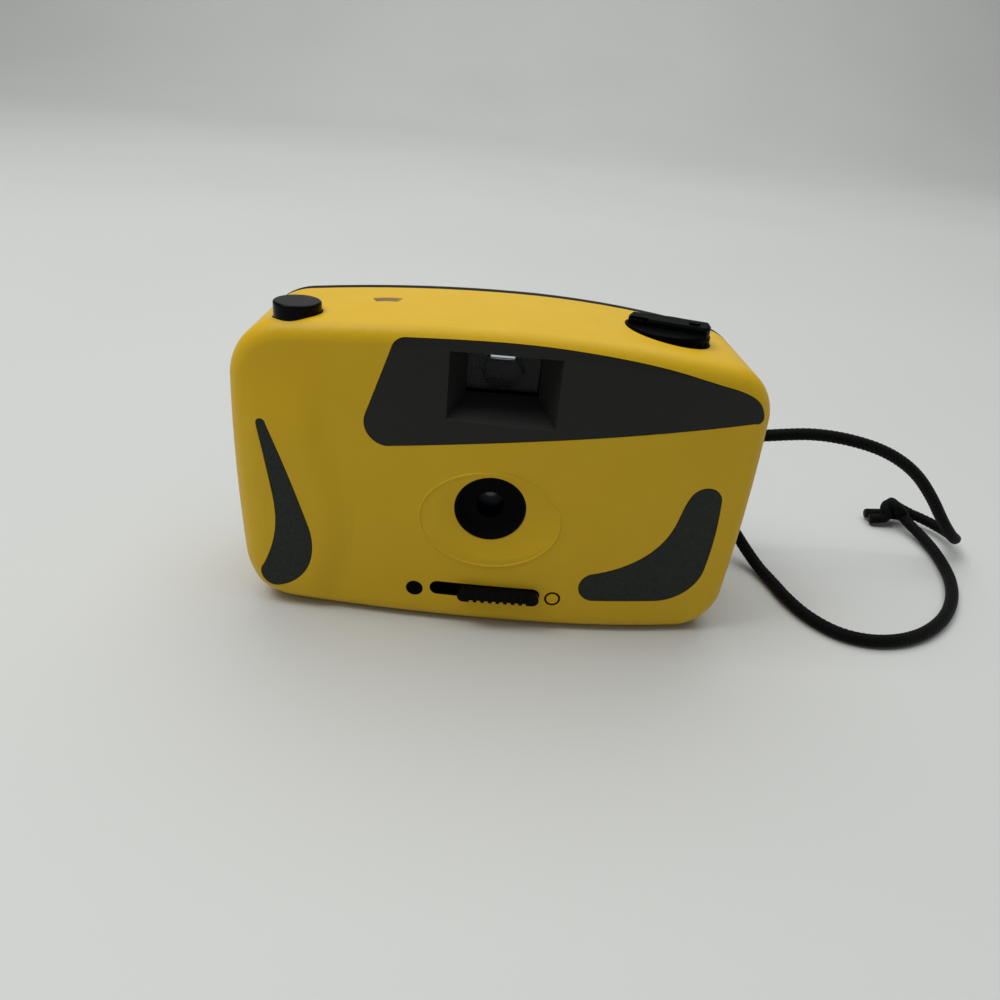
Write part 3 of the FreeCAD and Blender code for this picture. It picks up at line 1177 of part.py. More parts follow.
def make_pressure_plate():
    y1 = plate_y + plate_thickness
    plate = box(lens_x - plate_half_width, lens_x + plate_half_width, plate_y, y1,
                lens_z - plate_half_height, lens_z + plate_half_height)
    corners = [e for e in plate.Edges if e.BoundBox.XLength < 0.01 and e.BoundBox.ZLength < 0.01]
    plate = plate.makeFillet(2.0, corners)
    for px, pz in plate_posts:
        plate = plate.cut(cyl_y(px, pz, 1.1 + 0.1, plate_y - 1, y1 + 1))
    save("pressure_plate", one_solid(plate))
    # Bowed leaf spring, fixed in the middle to the door.
    half = 14.0
    back = rear_y - door_thickness
    reach = y1 + plate_travel + 0.1

    def leaf_arc(offset):
        return Part.Arc(V(lens_x - half, reach + offset, 0), V(lens_x, back - 0.3 + offset, 0),
                        V(lens_x + half, reach + offset, 0)).toShape()

    low = leaf_arc(0.0)
    high = leaf_arc(0.3)
    ends = []
    for side in (-1, 1):
        ends.append(Part.LineSegment(V(lens_x + side * half, reach, 0),
                                     V(lens_x + side * half, reach + 0.3, 0)).toShape())
    face = Part.Face(Part.Wire(Part.__sortEdges__([low, ends[1], high, ends[0]])))
    leaf = face.extrude(V(0, 0, 9.0))
    leaf.translate(V(0, 0, lens_z - 4.5))
    save("pressure_spring", leaf)


def make_latch():
    inside = rear_y - door_thickness
    knob = box(latch_x - 2.0, latch_x + 2.0, rear_y - 1.1, rear_y - 0.2, latch_z - 4.0, latch_z + 4.0)
    for index in range(4):
        z = latch_z - 3.0 + index * 1.8
        knob = knob.fuse(box(latch_x - 1.7, latch_x + 1.7, rear_y - 0.3, rear_y + 0.5, z, z + 0.7))
    stem = box(latch_x - 1.0, latch_x + 1.0, inside - 1.3, rear_y - 1.0, latch_z - 1.5, latch_z + 1.5)
    slider = box(latch_x - 1.8, latch_x + 1.8, inside - 1.3, inside - 0.25, latch_z - 3.0, latch_z + 3.0)
    tongue = box(latch_x, door_right + 0.1, inside - 1.3, inside - 0.3, latch_z - 1.5, latch_z + 1.5)
    save("door_latch", one_solid(fuse([knob, stem, slider, tongue])))
    spring = spring_coil(latch_x, inside - 1.1, latch_z - 7.2, latch_z - 3.0, 0.9, 0.3, 3)
    save("latch_spring", spring)
    seals = []
    for z in (door_bottom + 0.05, door_top - 0.95):
        seals.append(box(door_left + 3, door_right - 3, inside - 1.5, inside, z, z + 0.9))
    save("door_light_seals", Part.makeCompound(seals))


def make_case_screws():
    screws = []
    for x, y in base_screws:
        head_top = screw_head_depth
        shank = cyl_z(x, y, screw_radius, head_top - 0.1, 10.0)
        head = cyl_z(x, y, screw_head_radius, 0.15, head_top)
        cross = box(x - 1.2, x + 1.2, y - 0.25, y + 0.25, -1, 0.6)
        cross = cross.fuse(box(x - 0.25, x + 0.25, y - 1.2, y + 1.2, -1, 0.6))
        screws.append(shank.fuse(head).cut(cross))
    save("case_screws", Part.makeCompound(screws))


def cord_tube(name, points, diameter):
    # Round cord along straight runs that are joined by arcs tangent to both.
    stops = [V(*p) for p in points]
    edges = []
    here = stops[0]
    length = 0.0
    radii = []
    for before, corner, after in zip(stops, stops[1:], stops[2:]):
        back = (before - corner).normalize()
        ahead = (after - corner).normalize()
        reach = 0.45 * min((before - corner).Length, (after - corner).Length)
        half_turn = (math.pi - back.getAngle(ahead)) / 2
        radius = reach / math.tan(half_turn)
        middle = (back + ahead).normalize()
        arc_mid = corner + middle * (radius / math.cos(half_turn) - radius)
        start = corner + back * reach
        end = corner + ahead * reach
        edges.append(Part.LineSegment(here, start).toShape())
        edges.append(Part.Arc(start, arc_mid, end).toShape())
        length += (start - here).Length + radius * half_turn * 2
        radii.append(round(radius, 1))
        here = end
    edges.append(Part.LineSegment(here, stops[-1]).toShape())
    length += (stops[-1] - here).Length
    first = (stops[1] - stops[0]).normalize()
    section = Part.Wire([Part.makeCircle(diameter / 2, stops[0], first)])
    tube = Part.Wire(edges).makePipeShell([section], True, False)
    expected = math.pi * diameter ** 2 / 4 * length
    print(name, "bend radii", radii, "length", round(length, 1))
    print(name, "volume", round(tube.Volume, 1), "section times length", round(expected, 1))
    save(name, tube)
    return edges


def make_strap():
    # The cord turns round the lug's pin in an upright plane.
    top = lug_z + hitch_radius
    low = lug_z - hitch_radius
    path = Part.Wire([
        Part.LineSegment(V(hitch_end_x, lug_y, top), V(lug_x, lug_y, top)).toShape(),
        Part.Arc(V(lug_x, lug_y, top), V(lug_x - hitch_radius, lug_y, lug_z),
                 V(lug_x, lug_y, low)).toShape(),
        Part.LineSegment(V(lug_x, lug_y, low), V(hitch_end_x, lug_y, low)).toShape(),
    ])
    section = Part.Wire([Part.makeCircle(cord_diameter / 2, V(hitch_end_x, lug_y, top), V(-1, 0, 0))])
    save("strap_hitch", path.makePipeShell([section], True, False))
    cord_tube("strap_cord_upper", upper_strand, cord_diameter)
    cord_tube("strap_cord_lower", lower_strand, cord_diameter)
    # Overhand knot that joins the two strands: interlocked rounds of cord and its two short ends.
    r = cord_diameter / 2
    middle = V(*knot_middle)
    turns = []
    for tilt, turn in ((20, 0), (75, 60), (75, -60)):
        loop = Part.makeTorus(knot_turn_radius, r)
        loop.rotate(V(0, 0, 0), X_AXIS, tilt)
        loop.rotate(V(0, 0, 0), Z_AXIS, turn)
        loop.translate(middle)
        turns.append(loop)
    for stop in (upper_strand[-1], lower_strand[-1]):
        tip = V(*stop)
        other = V(*(upper_strand[-2] if stop == upper_strand[-1] else lower_strand[-2]))
        direction = (tip - other).normalize()
        turns.append(Part.makeCylinder(r, 3.0, tip, direction))
    for side in (-1.8, 1.8):
        tail_start = V(middle.x, middle.y + side, 2.6)
        turns.append(Part.makeCylinder(r, 9.0, tail_start, V(-1, 0, -0.05)))
    save("strap_knot", one_solid(fuse(turns)))


make_list = (make_front_cover, make_panel, make_grips, make_lens, make_lens_cover, make_finder,
             make_chassis, make_shutter, make_shutter_parts, make_button, make_sprocket, make_release,
             make_take_up, make_rewind, make_rear_frame, make_door, make_pressure_plate, make_latch,
             make_case_screws, make_strap)
os.makedirs("parts", exist_ok=True)
for make in make_list:
    make()
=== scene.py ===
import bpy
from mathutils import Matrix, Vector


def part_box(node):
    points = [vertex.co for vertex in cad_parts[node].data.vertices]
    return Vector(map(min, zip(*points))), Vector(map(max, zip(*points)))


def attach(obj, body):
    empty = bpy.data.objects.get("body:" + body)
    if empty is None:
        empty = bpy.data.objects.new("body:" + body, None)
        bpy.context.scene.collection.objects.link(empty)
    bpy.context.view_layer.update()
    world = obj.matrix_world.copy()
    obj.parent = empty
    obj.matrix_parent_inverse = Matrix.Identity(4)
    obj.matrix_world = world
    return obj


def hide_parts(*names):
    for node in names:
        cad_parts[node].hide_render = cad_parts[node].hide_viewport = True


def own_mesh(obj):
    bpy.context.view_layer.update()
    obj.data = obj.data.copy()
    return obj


bl_info = {
    "name": "Compact Film Camera",
    "version": (1, 0, 0),
    "blender": (4, 5, 0),
    "location": "View3D > Sidebar > Film Camera",
    "description": "Finishes a compact film camera: plastics, glass, steel and a braided wrist strap",
    "category": "Object",
}

import math

import bpy
from mathutils import Matrix, Vector
from mathutils.bvhtree import BVHTree

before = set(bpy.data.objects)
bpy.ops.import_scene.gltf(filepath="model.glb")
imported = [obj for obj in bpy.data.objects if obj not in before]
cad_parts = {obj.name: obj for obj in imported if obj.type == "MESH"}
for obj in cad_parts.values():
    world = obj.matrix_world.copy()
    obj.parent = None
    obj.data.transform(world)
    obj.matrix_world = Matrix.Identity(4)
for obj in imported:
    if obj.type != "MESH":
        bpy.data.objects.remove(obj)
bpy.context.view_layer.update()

# One millimetre in Blender's metres. The lengths below are in millimetres unless a comment says otherwise.
MM = 0.001

# The strap's route. It follows the part's source, but the lower strand's first points lie
# up to 8 mm further back, so that they stay hidden behind the case.
UPPER_STRAND = ((59.6, 17.5, 39.9), (67.6, 17.5, 39.9), (76.6, 17.5, 41.3), (86.0, 17.5, 42.4),
                (97.0, 17.5, 41.4), (108.0, 18.3, 38.4), (118.5, 20.0, 32.5), (127.5, 22.2, 24.0),
                (135.0, 24.4, 15.4), (140.6, 26.4, 9.9), (144.6, 29.0, 6.9), (147.6, 32.9, 4.9),
                (149.0, 37.6, 3.7), (148.4, 42.5, 3.1), (146.0, 46.8, 3.2), (142.0, 49.9, 3.7))
LOWER_STRAND = ((59.6, 17.5, 34.5), (64.1, 17.7, 34.4), (67.9, 19.5, 32.7), (69.5, 22.4, 29.4),
                (69.4, 24.8, 25.0), (68.7, 26.0, 20.2), (68.9, 25.9, 15.3), (70.9, 24.2, 10.8),
                (73.9, 21.0, 7.2), (76.8, 16.6, 4.0), (79.2, 11.3, 2.0), (80.9, 5.6, 1.8),
                (82.4, -2.0, 1.8), (85.6, -10.4, 1.8), (91.8, -17.0, 1.8), (101.0, -18.8, 1.8),
                (112.0, -15.8, 1.8), (122.5, -8.5, 1.8), (131.0, 1.5, 1.8), (136.8, 13.0, 1.8),
                (139.6, 24.5, 1.8), (140.4, 35.0, 2.2), (138.3, 43.6, 3.4))
LUG_LOOP = ((59.6, 17.5, 39.9), (57.6, 17.5, 39.9), (55.9, 17.5, 39.9), (54.3, 17.5, 38.3),
            (54.3, 17.5, 36.1), (55.9, 17.5, 34.5), (57.6, 17.5, 34.5), (59.6, 17.5, 34.5))
KNOT_UPPER = ((142.0, 49.9, 3.7), (138.8, 52.2, 4.4), (135.6, 51.8, 6.4), (133.6, 49.4, 7.7),
              (135.4, 46.2, 6.9), (138.8, 47.1, 3.8), (137.2, 50.5, 2.6), (133.6, 50.8, 2.6),
              (130.4, 50.6, 2.4), (127.2, 50.6, 2.2))
KNOT_LOWER = ((138.3, 43.6, 3.4), (137.4, 46.4, 4.2), (136.0, 49.6, 6.2), (133.4, 50.4, 7.0),
              (131.7, 48.4, 5.6), (132.6, 46.8, 3.2), (130.2, 47.0, 2.5), (127.2, 47.0, 2.2))

# The cord's mesh: a direction that no stretch starts along, which gives its first side, the fewest steps of
# a stretch, the cord's sides, its rings of vertices to one plait, its yarns, the share of its radius that the
# plait's relief takes up, the power that rounds the relief, and the share of its radius at a cut end.
OFF_LINE = (0.3, 0.2, 1.0)
FEWEST_STEPS = 4
CORD_SIDES = 24
RINGS_PER_PLAIT = 5
YARNS = 8
RELIEF_SHARE = 0.1
RELIEF_POWER = 0.6
CUT_END = 0.9

# The finger swell at the left end: its crease as heights and places across, its height above the front,
# where it blends in past the crease, at the end, below the top and above the base, and its cuts.
SWELL_CREASE = ((0.0, -38.6), (6.7, -36.6), (11.8, -34.6), (20.0, -33.2), (28.1, -32.7), (38.1, -35.2),
                (46.9, -37.4), (55.5, -38.0), (74.0, -38.0))
SWELL_HEIGHT = 1.5
CREASE_BLEND = (-1.5, 7.0)
END_BLEND = (-60.2, -53.0)
TOP_BLEND = (44.0, 64.0)
FOOT_BLEND = (0.5, 6.0)
CUTS_ACROSS = (-59.0, -28.0)
CUTS_UP = (2.0, 64.0)
CUT_SPACING = 1.5

# The skin that the swell lifts: faces before FACE_REACH that look forward by more than FRONT_LOOK are cut
# finer, and vertices before VERTEX_REACH that lie less than SKIN_DEPTH behind the skin are moved where the
# swell is above LEAST_SWELL.
FRONT_LOOK = 0.15
FACE_REACH = -10.0
VERTEX_REACH = -8.0
SKIN_DEPTH = 1.5
LEAST_SWELL = 0.001

# The angles in degrees above which an edge stays sharp, on the moulded skins and on the springs.
SKIN_ANGLE = 30
SPRING_ANGLE = 50

# A place ahead of the whole camera where rays start, and the gap below which doubled vertices are merged.
FAR_AHEAD = -100
MERGE_GAP = 0.002

# The rounded edge of the dimple round the lens: its middle across and up, its half sizes, the bead's
# radius, the share of that radius that is sunk into the skin, and the bead's sides and steps.
DIMPLE_MIDDLE = (-0.5, 29.6)
DIMPLE_HALF = (16.2, 12.2)
DIMPLE_EDGE = 0.42
EDGE_SUNK = 0.45
EDGE_SIDES = 8
EDGE_STEPS = 120

# The slot of the lens cover's slide: its two ends, the height of its middle, half its height and the
# hair's breadth round it. The slot's wall and that hair's breadth are painted black as painted shade.
SLOT_ENDS = (-13.4, 13.0)
SLOT_MIDDLE = 9.9
SLOT_HALF = 1.75
SLOT_MARGIN = 0.12

# The marks printed beside the slide, across and up: a dot where the cover is shut and a ring where it is
# open. The ring's line is given by half its width. Neither the print nor the painted shade on the slot's wall
# is drawn further back than the reach at the end of this list.
DOT_PLACE = (-17.2, 9.1)
DOT_RADIUS = 2.05
RING_PLACE = (16.3, 9.4)
RING_RADIUS = 1.7
RING_LINE = 0.26
PRINT_AND_SHADE_REACH = -14

# How strongly the yellow plastic shines back, how strongly the printed black and the black painted shade on
# the slot's wall shine back, and the widths in millimetres of the grips' pebbles and of the foam's cells.
YELLOW_GLOSS = 0.22
PRINT_AND_SHADE_GLOSS = 0.03
PEBBLE_WIDTH = 0.7
CELL_WIDTH = 0.5

# The springs that a press shortens: node, body, joint, the joint's travel and the held end's height.
PRESSED_SPRINGS = (("button_spring", "camera_case", "shutter_button_press", 1.8, 66.4),
                   ("release_spring", "camera_case", "rewind_release_press", 1.2, 5.5),
                   ("latch_spring", "film_door", "door_latch_slide", 2.5, 22.8))

# The frame numbers on the counter dial: how many, the frames between two, the size of their type, the
# radius of their ring and the ink's thickness.
NUMBER_COUNT = 10
FRAMES_BETWEEN = 4
NUMBER_SIZE = 2.4
NUMBER_RADIUS = 7.4
INK_THICKNESS = 0.02

# Where the photograph was taken from: its place, and its turns about the upright, downwards and about its
# own line of sight.
EYE_PLACE = (-5.2, -168.9, 116.5)
EYE_YAW = -2.54
EYE_DOWN = 28.6
EYE_ROLL = 5.56

# The table in metres: its width, the place of its middle, its back's height and the sweep's radius.
TABLE_WIDTH = 5.0
TABLE_MIDDLE = 0.6
BACK_HEIGHT = 3.0
SWEEP_RADIUS = 1.4

# The lights: name, place in metres, turn in degrees, width in metres and power in watts.
LIGHTS = (("ceiling light", (0.0, 0.9, 2.2), (0, 0, 0), 3.0, 50.0),
          ("window light", (-0.6, -0.12, 1.0), (6, -31, 0), 0.5, 4.0))
ROOM_COLOUR = "#F4F6F8"
ROOM_STRENGTH = 0.2


def linear(code, alpha=1.0):
    """An sRGB hex colour as linear numbers."""
    values = []
    for place in (1, 3, 5):
        part = int(code[place:place + 2], 16) / 255
        values.append(part / 12.92 if part <= 0.04045 else ((part + 0.055) / 1.055) ** 2.4)
    return (*values, alpha)


def add_node(tree, kind, inputs=None, links=None, **settings):
    """Adds one node with its settings, its input values and the sockets that feed it."""
    node = tree.nodes.new(kind)
    for key, value in settings.items():
        setattr(node, key, value)
    for key, value in (inputs or {}).items():
        node.inputs[key].default_value = value
    for key, source in (links or {}).items():
        tree.links.new(source, node.inputs[key])
    return node


def toned(colour, red, green, blue, lift=0.0):
    """The same colour with each part multiplied, and lifted by a little."""
    return (colour[0] * red + lift, colour[1] * green + lift, colour[2] * blue + lift, 1)


def start_finish(name, colour, roughness, gloss=0.5):
    """A new material, its shader and the piece's own coordinates in metres; gloss is the specular part."""
    finish = bpy.data.materials.new(name)
    finish.use_nodes = True
    tree = finish.node_tree
    tree.nodes.clear()
    output = add_node(tree, "ShaderNodeOutputMaterial")
    shader = add_node(tree, "ShaderNodeBsdfPrincipled",
                      {"Base Color": colour, "Roughness": roughness, "Specular IOR Level": gloss})
    tree.links.new(shader.outputs["BSDF"], output.inputs["Surface"])
    place = add_node(tree, "ShaderNodeTexCoord").outputs["Object"]
    return finish, tree, shader, place


def grain(tree, shader, place, size_mm, height_mm, rough_low, rough_high):
    """Fine moulded grain of a real size, and roughness that drifts a little from place to place."""
    speck = add_node(tree, "ShaderNodeTexNoise", {"Scale": 1 / (size_mm * MM), "Detail": 2.0},
                     {"Vector": place})
    bump = add_node(tree, "ShaderNodeBump", {"Strength": 0.6, "Distance": height_mm * MM},
                    {"Height": speck.outputs["Fac"]})
    tree.links.new(bump.outputs["Normal"], shader.inputs["Normal"])
    drift = add_node(tree, "ShaderNodeTexNoise", {"Scale": 70.0, "Detail": 3.0}, {"Vector": place})
    rough = add_node(tree, "ShaderNodeMapRange", {"To Min": rough_low, "To Max": rough_high},
                     {"Value": drift.outputs["Fac"]})
    tree.links.new(rough.outputs["Result"], shader.inputs["Roughness"])
    return drift.outputs["Fac"]


def print_and_slot_shade(tree, place):
    """1 on the printed dot and ring and on the slide slot's wall, which is painted shade, and 0 elsewhere."""
    spot = add_node(tree, "ShaderNodeSeparateXYZ", links={"Vector": place})
    flat = add_node(tree, "ShaderNodeCombineXYZ", links={"X": spot.outputs["X"], "Z": spot.outputs["Z"]})
    dot_gap = add_node(tree, "ShaderNodeVectorMath", {1: (DOT_PLACE[0] * MM, 0, DOT_PLACE[1] * MM)},
                       {0: flat.outputs[0]}, operation="DISTANCE")
    dot = add_node(tree, "ShaderNodeMath", {1: DOT_RADIUS * MM}, {0: dot_gap.outputs["Value"]},
                   operation="LESS_THAN")
    ring_gap = add_node(tree, "ShaderNodeVectorMath", {1: (RING_PLACE[0] * MM, 0, RING_PLACE[1] * MM)},
                        {0: flat.outputs[0]}, operation="DISTANCE")
    ring = add_node(tree, "ShaderNodeMath", {1: RING_RADIUS * MM, 2: RING_LINE * MM},
                    {0: ring_gap.outputs["Value"]}, operation="COMPARE")
    # How far a place lies past the slot's straight run gives how far it is from the slot's middle line.
    middle = (SLOT_ENDS[0] + SLOT_ENDS[1]) / 2
    run = (SLOT_ENDS[1] - SLOT_ENDS[0]) / 2 - SLOT_HALF
    across = spot.outputs["X"]
    for step, value in (("SUBTRACT", middle), ("ABSOLUTE", 0.0), ("SUBTRACT", run), ("MAXIMUM", 0.0)):
        node = add_node(tree, "ShaderNodeMath", {1: value * MM}, {0: across}, operation=step)
        across = node.outputs[0]
    past = add_node(tree, "ShaderNodeCombineXYZ", links={"X": across, "Z": spot.outputs["Z"]})
    slot_gap = add_node(tree, "ShaderNodeVectorMath", {1: (0, 0, SLOT_MIDDLE * MM)},
                        {0: past.outputs[0]}, operation="DISTANCE")
    # Painted shade: the slot's wall and a hair's breadth round it are painted black, as if in shade.
    slot_shade = add_node(tree, "ShaderNodeMath", {1: (SLOT_HALF + SLOT_MARGIN) * MM},
                      {0: slot_gap.outputs["Value"]}, operation="LESS_THAN")
    either = add_node(tree, "ShaderNodeMath", links={0: dot.outputs[0], 1: ring.outputs[0]},
                      operation="MAXIMUM")
    marks = add_node(tree, "ShaderNodeMath", links={0: either.outputs[0], 1: slot_shade.outputs[0]},
                     operation="MAXIMUM")
    front = add_node(tree, "ShaderNodeMath", {1: PRINT_AND_SHADE_REACH * MM}, {0: spot.outputs["Y"]},
                     operation="LESS_THAN")
    printed = add_node(tree, "ShaderNodeMath", links={0: marks.outputs[0], 1: front.outputs[0]},
                       operation="MULTIPLY")
    return printed.outputs[0]


def yellow_abs(colour):
    """Yellow ABS, moulded with a light etch: satin, with two dull printed black marks and dull black painted
    shade on the slot's wall.
    """
    finish, tree, shader, place = start_finish("yellow moulded ABS", colour, 0.42, YELLOW_GLOSS)
    drift = grain(tree, shader, place, size_mm=0.35, height_mm=0.012, rough_low=0.36, rough_high=0.5)
    tone = add_node(tree, "ShaderNodeMix", {6: colour, 7: toned(colour, 0.93, 0.9, 0.8)},
                    {0: drift}, data_type="RGBA")
    printed = print_and_slot_shade(tree, place)
    # Black for the printed dot and ring, and black painted shade on the slot's wall.
    paint = add_node(tree, "ShaderNodeMix", {7: linear("#040404")}, {0: printed, 6: tone.outputs[2]},
                     data_type="RGBA")
    tree.links.new(paint.outputs[2], shader.inputs["Base Color"])
    dull = add_node(tree, "ShaderNodeMapRange", {"To Min": YELLOW_GLOSS, "To Max": PRINT_AND_SHADE_GLOSS},
                    {"Value": printed})
    tree.links.new(dull.outputs["Result"], shader.inputs["Specular IOR Level"])
    return finish


def satin(name, colour, low, high, size_mm=0.3, gloss=0.22):
    """A satin moulded or blackened surface, between two roughnesses, that pales a little in patches."""
    finish, tree, shader, place = start_finish(name, colour, low, gloss)
    drift = grain(tree, shader, place, size_mm, height_mm=0.015, rough_low=low, rough_high=high)
    tone = add_node(tree, "ShaderNodeMix", {6: colour, 7: toned(colour, 1.25, 1.25, 1.25, 0.002)},
                    {0: drift}, data_type="RGBA")
    tree.links.new(tone.outputs[2], shader.inputs["Base Color"])
    return finish


def grip_rubber(colour):
    """Soft grip rubber with a pebbled face; the pebbles are drawn wide enough to show, and their tops are
    painted lighter than the gaps as painted light and shade.
    """
    finish, tree, shader, place = start_finish("pebbled grip rubber", colour, roughness=0.7, gloss=0.2)
    pebble = add_node(tree, "ShaderNodeTexVoronoi", {"Scale": 1 / (PEBBLE_WIDTH * MM)}, {"Vector": place})
    bump = add_node(tree, "ShaderNodeBump", {"Strength": 0.9, "Distance": 0.12 * MM},
                    {"Height": pebble.outputs["Distance"]}, invert=True)
    tree.links.new(bump.outputs["Normal"], shader.inputs["Normal"])
    # Painted light and shade: each pebble's top is painted 1.7 times lighter than the gaps round it.
    tone = add_node(tree, "ShaderNodeMix", {6: toned(colour, 1.7, 1.7, 1.7), 7: colour},
                    {0: pebble.outputs["Distance"]}, data_type="RGBA")
    tree.links.new(tone.outputs[2], shader.inputs["Base Color"])
    return finish


def clear_acrylic(name, tint, roughness, shine=0.2, gloss=0.12, clear=1.0, alpha=1.0):
    """Clear acrylic or coated glass: clear is how much light goes through, alpha low for thin sheet."""
    finish, tree, shader, place = start_finish(name, tint, roughness, gloss)
    shader.inputs["Transmission Weight"].default_value = clear
    shader.inputs["Alpha"].default_value = alpha
    shader.inputs["Specular Tint"].default_value = (shine, shine, shine, 1)
    shader.inputs["IOR"].default_value = 1.49
    smear = add_node(tree, "ShaderNodeTexNoise", {"Scale": 140.0, "Detail": 2.0}, {"Vector": place})
    rough = add_node(tree, "ShaderNodeMapRange", {"To Min": roughness, "To Max": roughness + 0.04},
                     {"Value": smear.outputs["Fac"]})
    tree.links.new(rough.outputs["Result"], shader.inputs["Roughness"])
    return finish


def turned_steel(name, colour, roughness):
    """Bright steel with fine drawn lines along X, about 0.1 mm apart."""
    finish, tree, shader, place = start_finish(name, colour, roughness)
    shader.inputs["Metallic"].default_value = 1.0
    stretch = add_node(tree, "ShaderNodeMapping", {"Scale": (1.0, 12.0, 12.0)}, {"Vector": place})
    lines = add_node(tree, "ShaderNodeTexNoise", {"Scale": 800.0, "Detail": 2.0},
                     {"Vector": stretch.outputs[0]})
    rough = add_node(tree, "ShaderNodeMapRange", {"To Min": roughness - 0.08, "To Max": roughness + 0.1},
                     {"Value": lines.outputs["Fac"]})
    tree.links.new(rough.outputs["Result"], shader.inputs["Roughness"])
    return finish


def light_seal_foam():
    """Black open-cell foam."""
    finish, tree, shader, place = start_finish("light seal foam", linear("#101010"), roughness=0.95)
    cells = add_node(tree, "ShaderNodeTexVoronoi", {"Scale": 1 / (CELL_WIDTH * MM)}, {"Vector": place})
    bump = add_node(tree, "ShaderNodeBump", {"Strength": 1.0, "Distance": 0.2 * MM},
                    {"Height": cells.outputs["Distance"]})
    tree.links.new(bump.outputs["Normal"], shader.inputs["Normal"])
    return finish


def braided_polyester(colour):
    """Black polyester braid: the plait is in the mesh, and this adds its filaments and soft sheen."""
    finish, tree, shader, _ = start_finish("braided polyester", colour, roughness=0.75, gloss=0.1)
    shader.inputs["Sheen Weight"].default_value = 0.06
    shader.inputs["Sheen Roughness"].default_value = 0.4
    along = add_node(tree, "ShaderNodeUVMap", uv_map="plait")
    fibre = add_node(tree, "ShaderNodeTexNoise", {"Scale": 6.0, "Detail": 3.0},
                     {"Vector": along.outputs["UV"]})
    bump = add_node(tree, "ShaderNodeBump", {"Strength": 0.8, "Distance": 0.08 * MM},
                    {"Height": fibre.outputs["Fac"]})
    tree.links.new(bump.outputs["Normal"], shader.inputs["Normal"])
    tone = add_node(tree, "ShaderNodeMix", {6: colour, 7: toned(colour, 2.2, 2.2, 2.3)},
                    {0: fibre.outputs["Fac"]}, data_type="RGBA")
    tree.links.new(tone.outputs[2], shader.inputs["Base Color"])
    return finish


def finish_nodes(names, finish):
    """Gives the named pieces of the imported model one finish."""
    for name in names:
        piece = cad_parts[name]
        for place in piece.material_slots:
            place.material = finish
        if not piece.material_slots:
            piece.data.materials.append(finish)


def select_only(piece):
    """Selects one piece alone and makes it the active one."""
    bpy.ops.object.select_all(action="DESELECT")
    piece.select_set(True)
    bpy.context.view_layer.objects.active = piece


def settle(piece, name, body, finish):
    """Names a piece, puts its place into its mesh, gives it its finish and lets it ride on its body."""
    select_only(piece)
    bpy.ops.object.transform_apply(location=True, rotation=True, scale=True)
    piece.name = name
    piece.data.name = name
    piece.data.materials.clear()
    piece.data.materials.append(finish)
    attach(piece, body)
    return piece


def merged_copy(node):
    """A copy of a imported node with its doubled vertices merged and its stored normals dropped."""
    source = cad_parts[node]
    piece = source.copy()
    piece.data = source.data.copy()
    bpy.context.collection.objects.link(piece)
    select_only(piece)
    bpy.ops.object.mode_set(mode="EDIT")
    bpy.ops.mesh.select_all(action="SELECT")
    bpy.ops.mesh.remove_doubles(threshold=MERGE_GAP * MM)
    bpy.ops.mesh.customdata_custom_splitnormals_clear()
    bpy.ops.mesh.select_all(action="DESELECT")
    bpy.ops.object.mode_set(mode="OBJECT")
    return piece


def smooth_piece(name, mesh):
    """A piece made of a new mesh, with its faces turned outwards and shaded smooth."""
    piece = bpy.data.objects.new(name, mesh)
    bpy.context.collection.objects.link(piece)
    select_only(piece)
    bpy.ops.object.mode_set(mode="EDIT")
    bpy.ops.mesh.select_all(action="SELECT")
    bpy.ops.mesh.normals_make_consistent(inside=False)
    bpy.ops.object.mode_set(mode="OBJECT")
    bpy.ops.object.shade_smooth()
    return piece


def skin_of(piece):
    """The faces of a piece, ready for rays to be cast at them."""
    places = [vertex.co for vertex in piece.data.vertices]
    return BVHTree.FromPolygons(places, [face.vertices for face in piece.data.polygons])


def foremost(skin, x, z):
    """The foremost place of a skin at x and z, given in millimetres: in metres, or None beside it."""
    return skin.ray_cast(Vector((x, FAR_AHEAD, z)) * MM, Vector((0, 1, 0)))[0]


def step_up(value, low, high):
    """0 below low, 1 above high and a smooth rise between them."""
    share = min(1.0, max(0.0, (value - low) / (high - low)))
    return share * share * (3 - 2 * share)


def swell_at(x, z):
    """How far the finger swell at the left end stands out at a place on the front, in millimetres."""
    for (z0, x0), (z1, x1) in zip(SWELL_CREASE, SWELL_CREASE[1:]):
        if z <= z1:
            break
    crease = x0 + (x1 - x0) * min(1.0, max(0.0, (z - z0) / (z1 - z0)))
    across = step_up(crease - x, *CREASE_BLEND) * step_up(x, *END_BLEND)
    return SWELL_HEIGHT * across * (1 - step_up(z, *TOP_BLEND)) * step_up(z, *FOOT_BLEND)


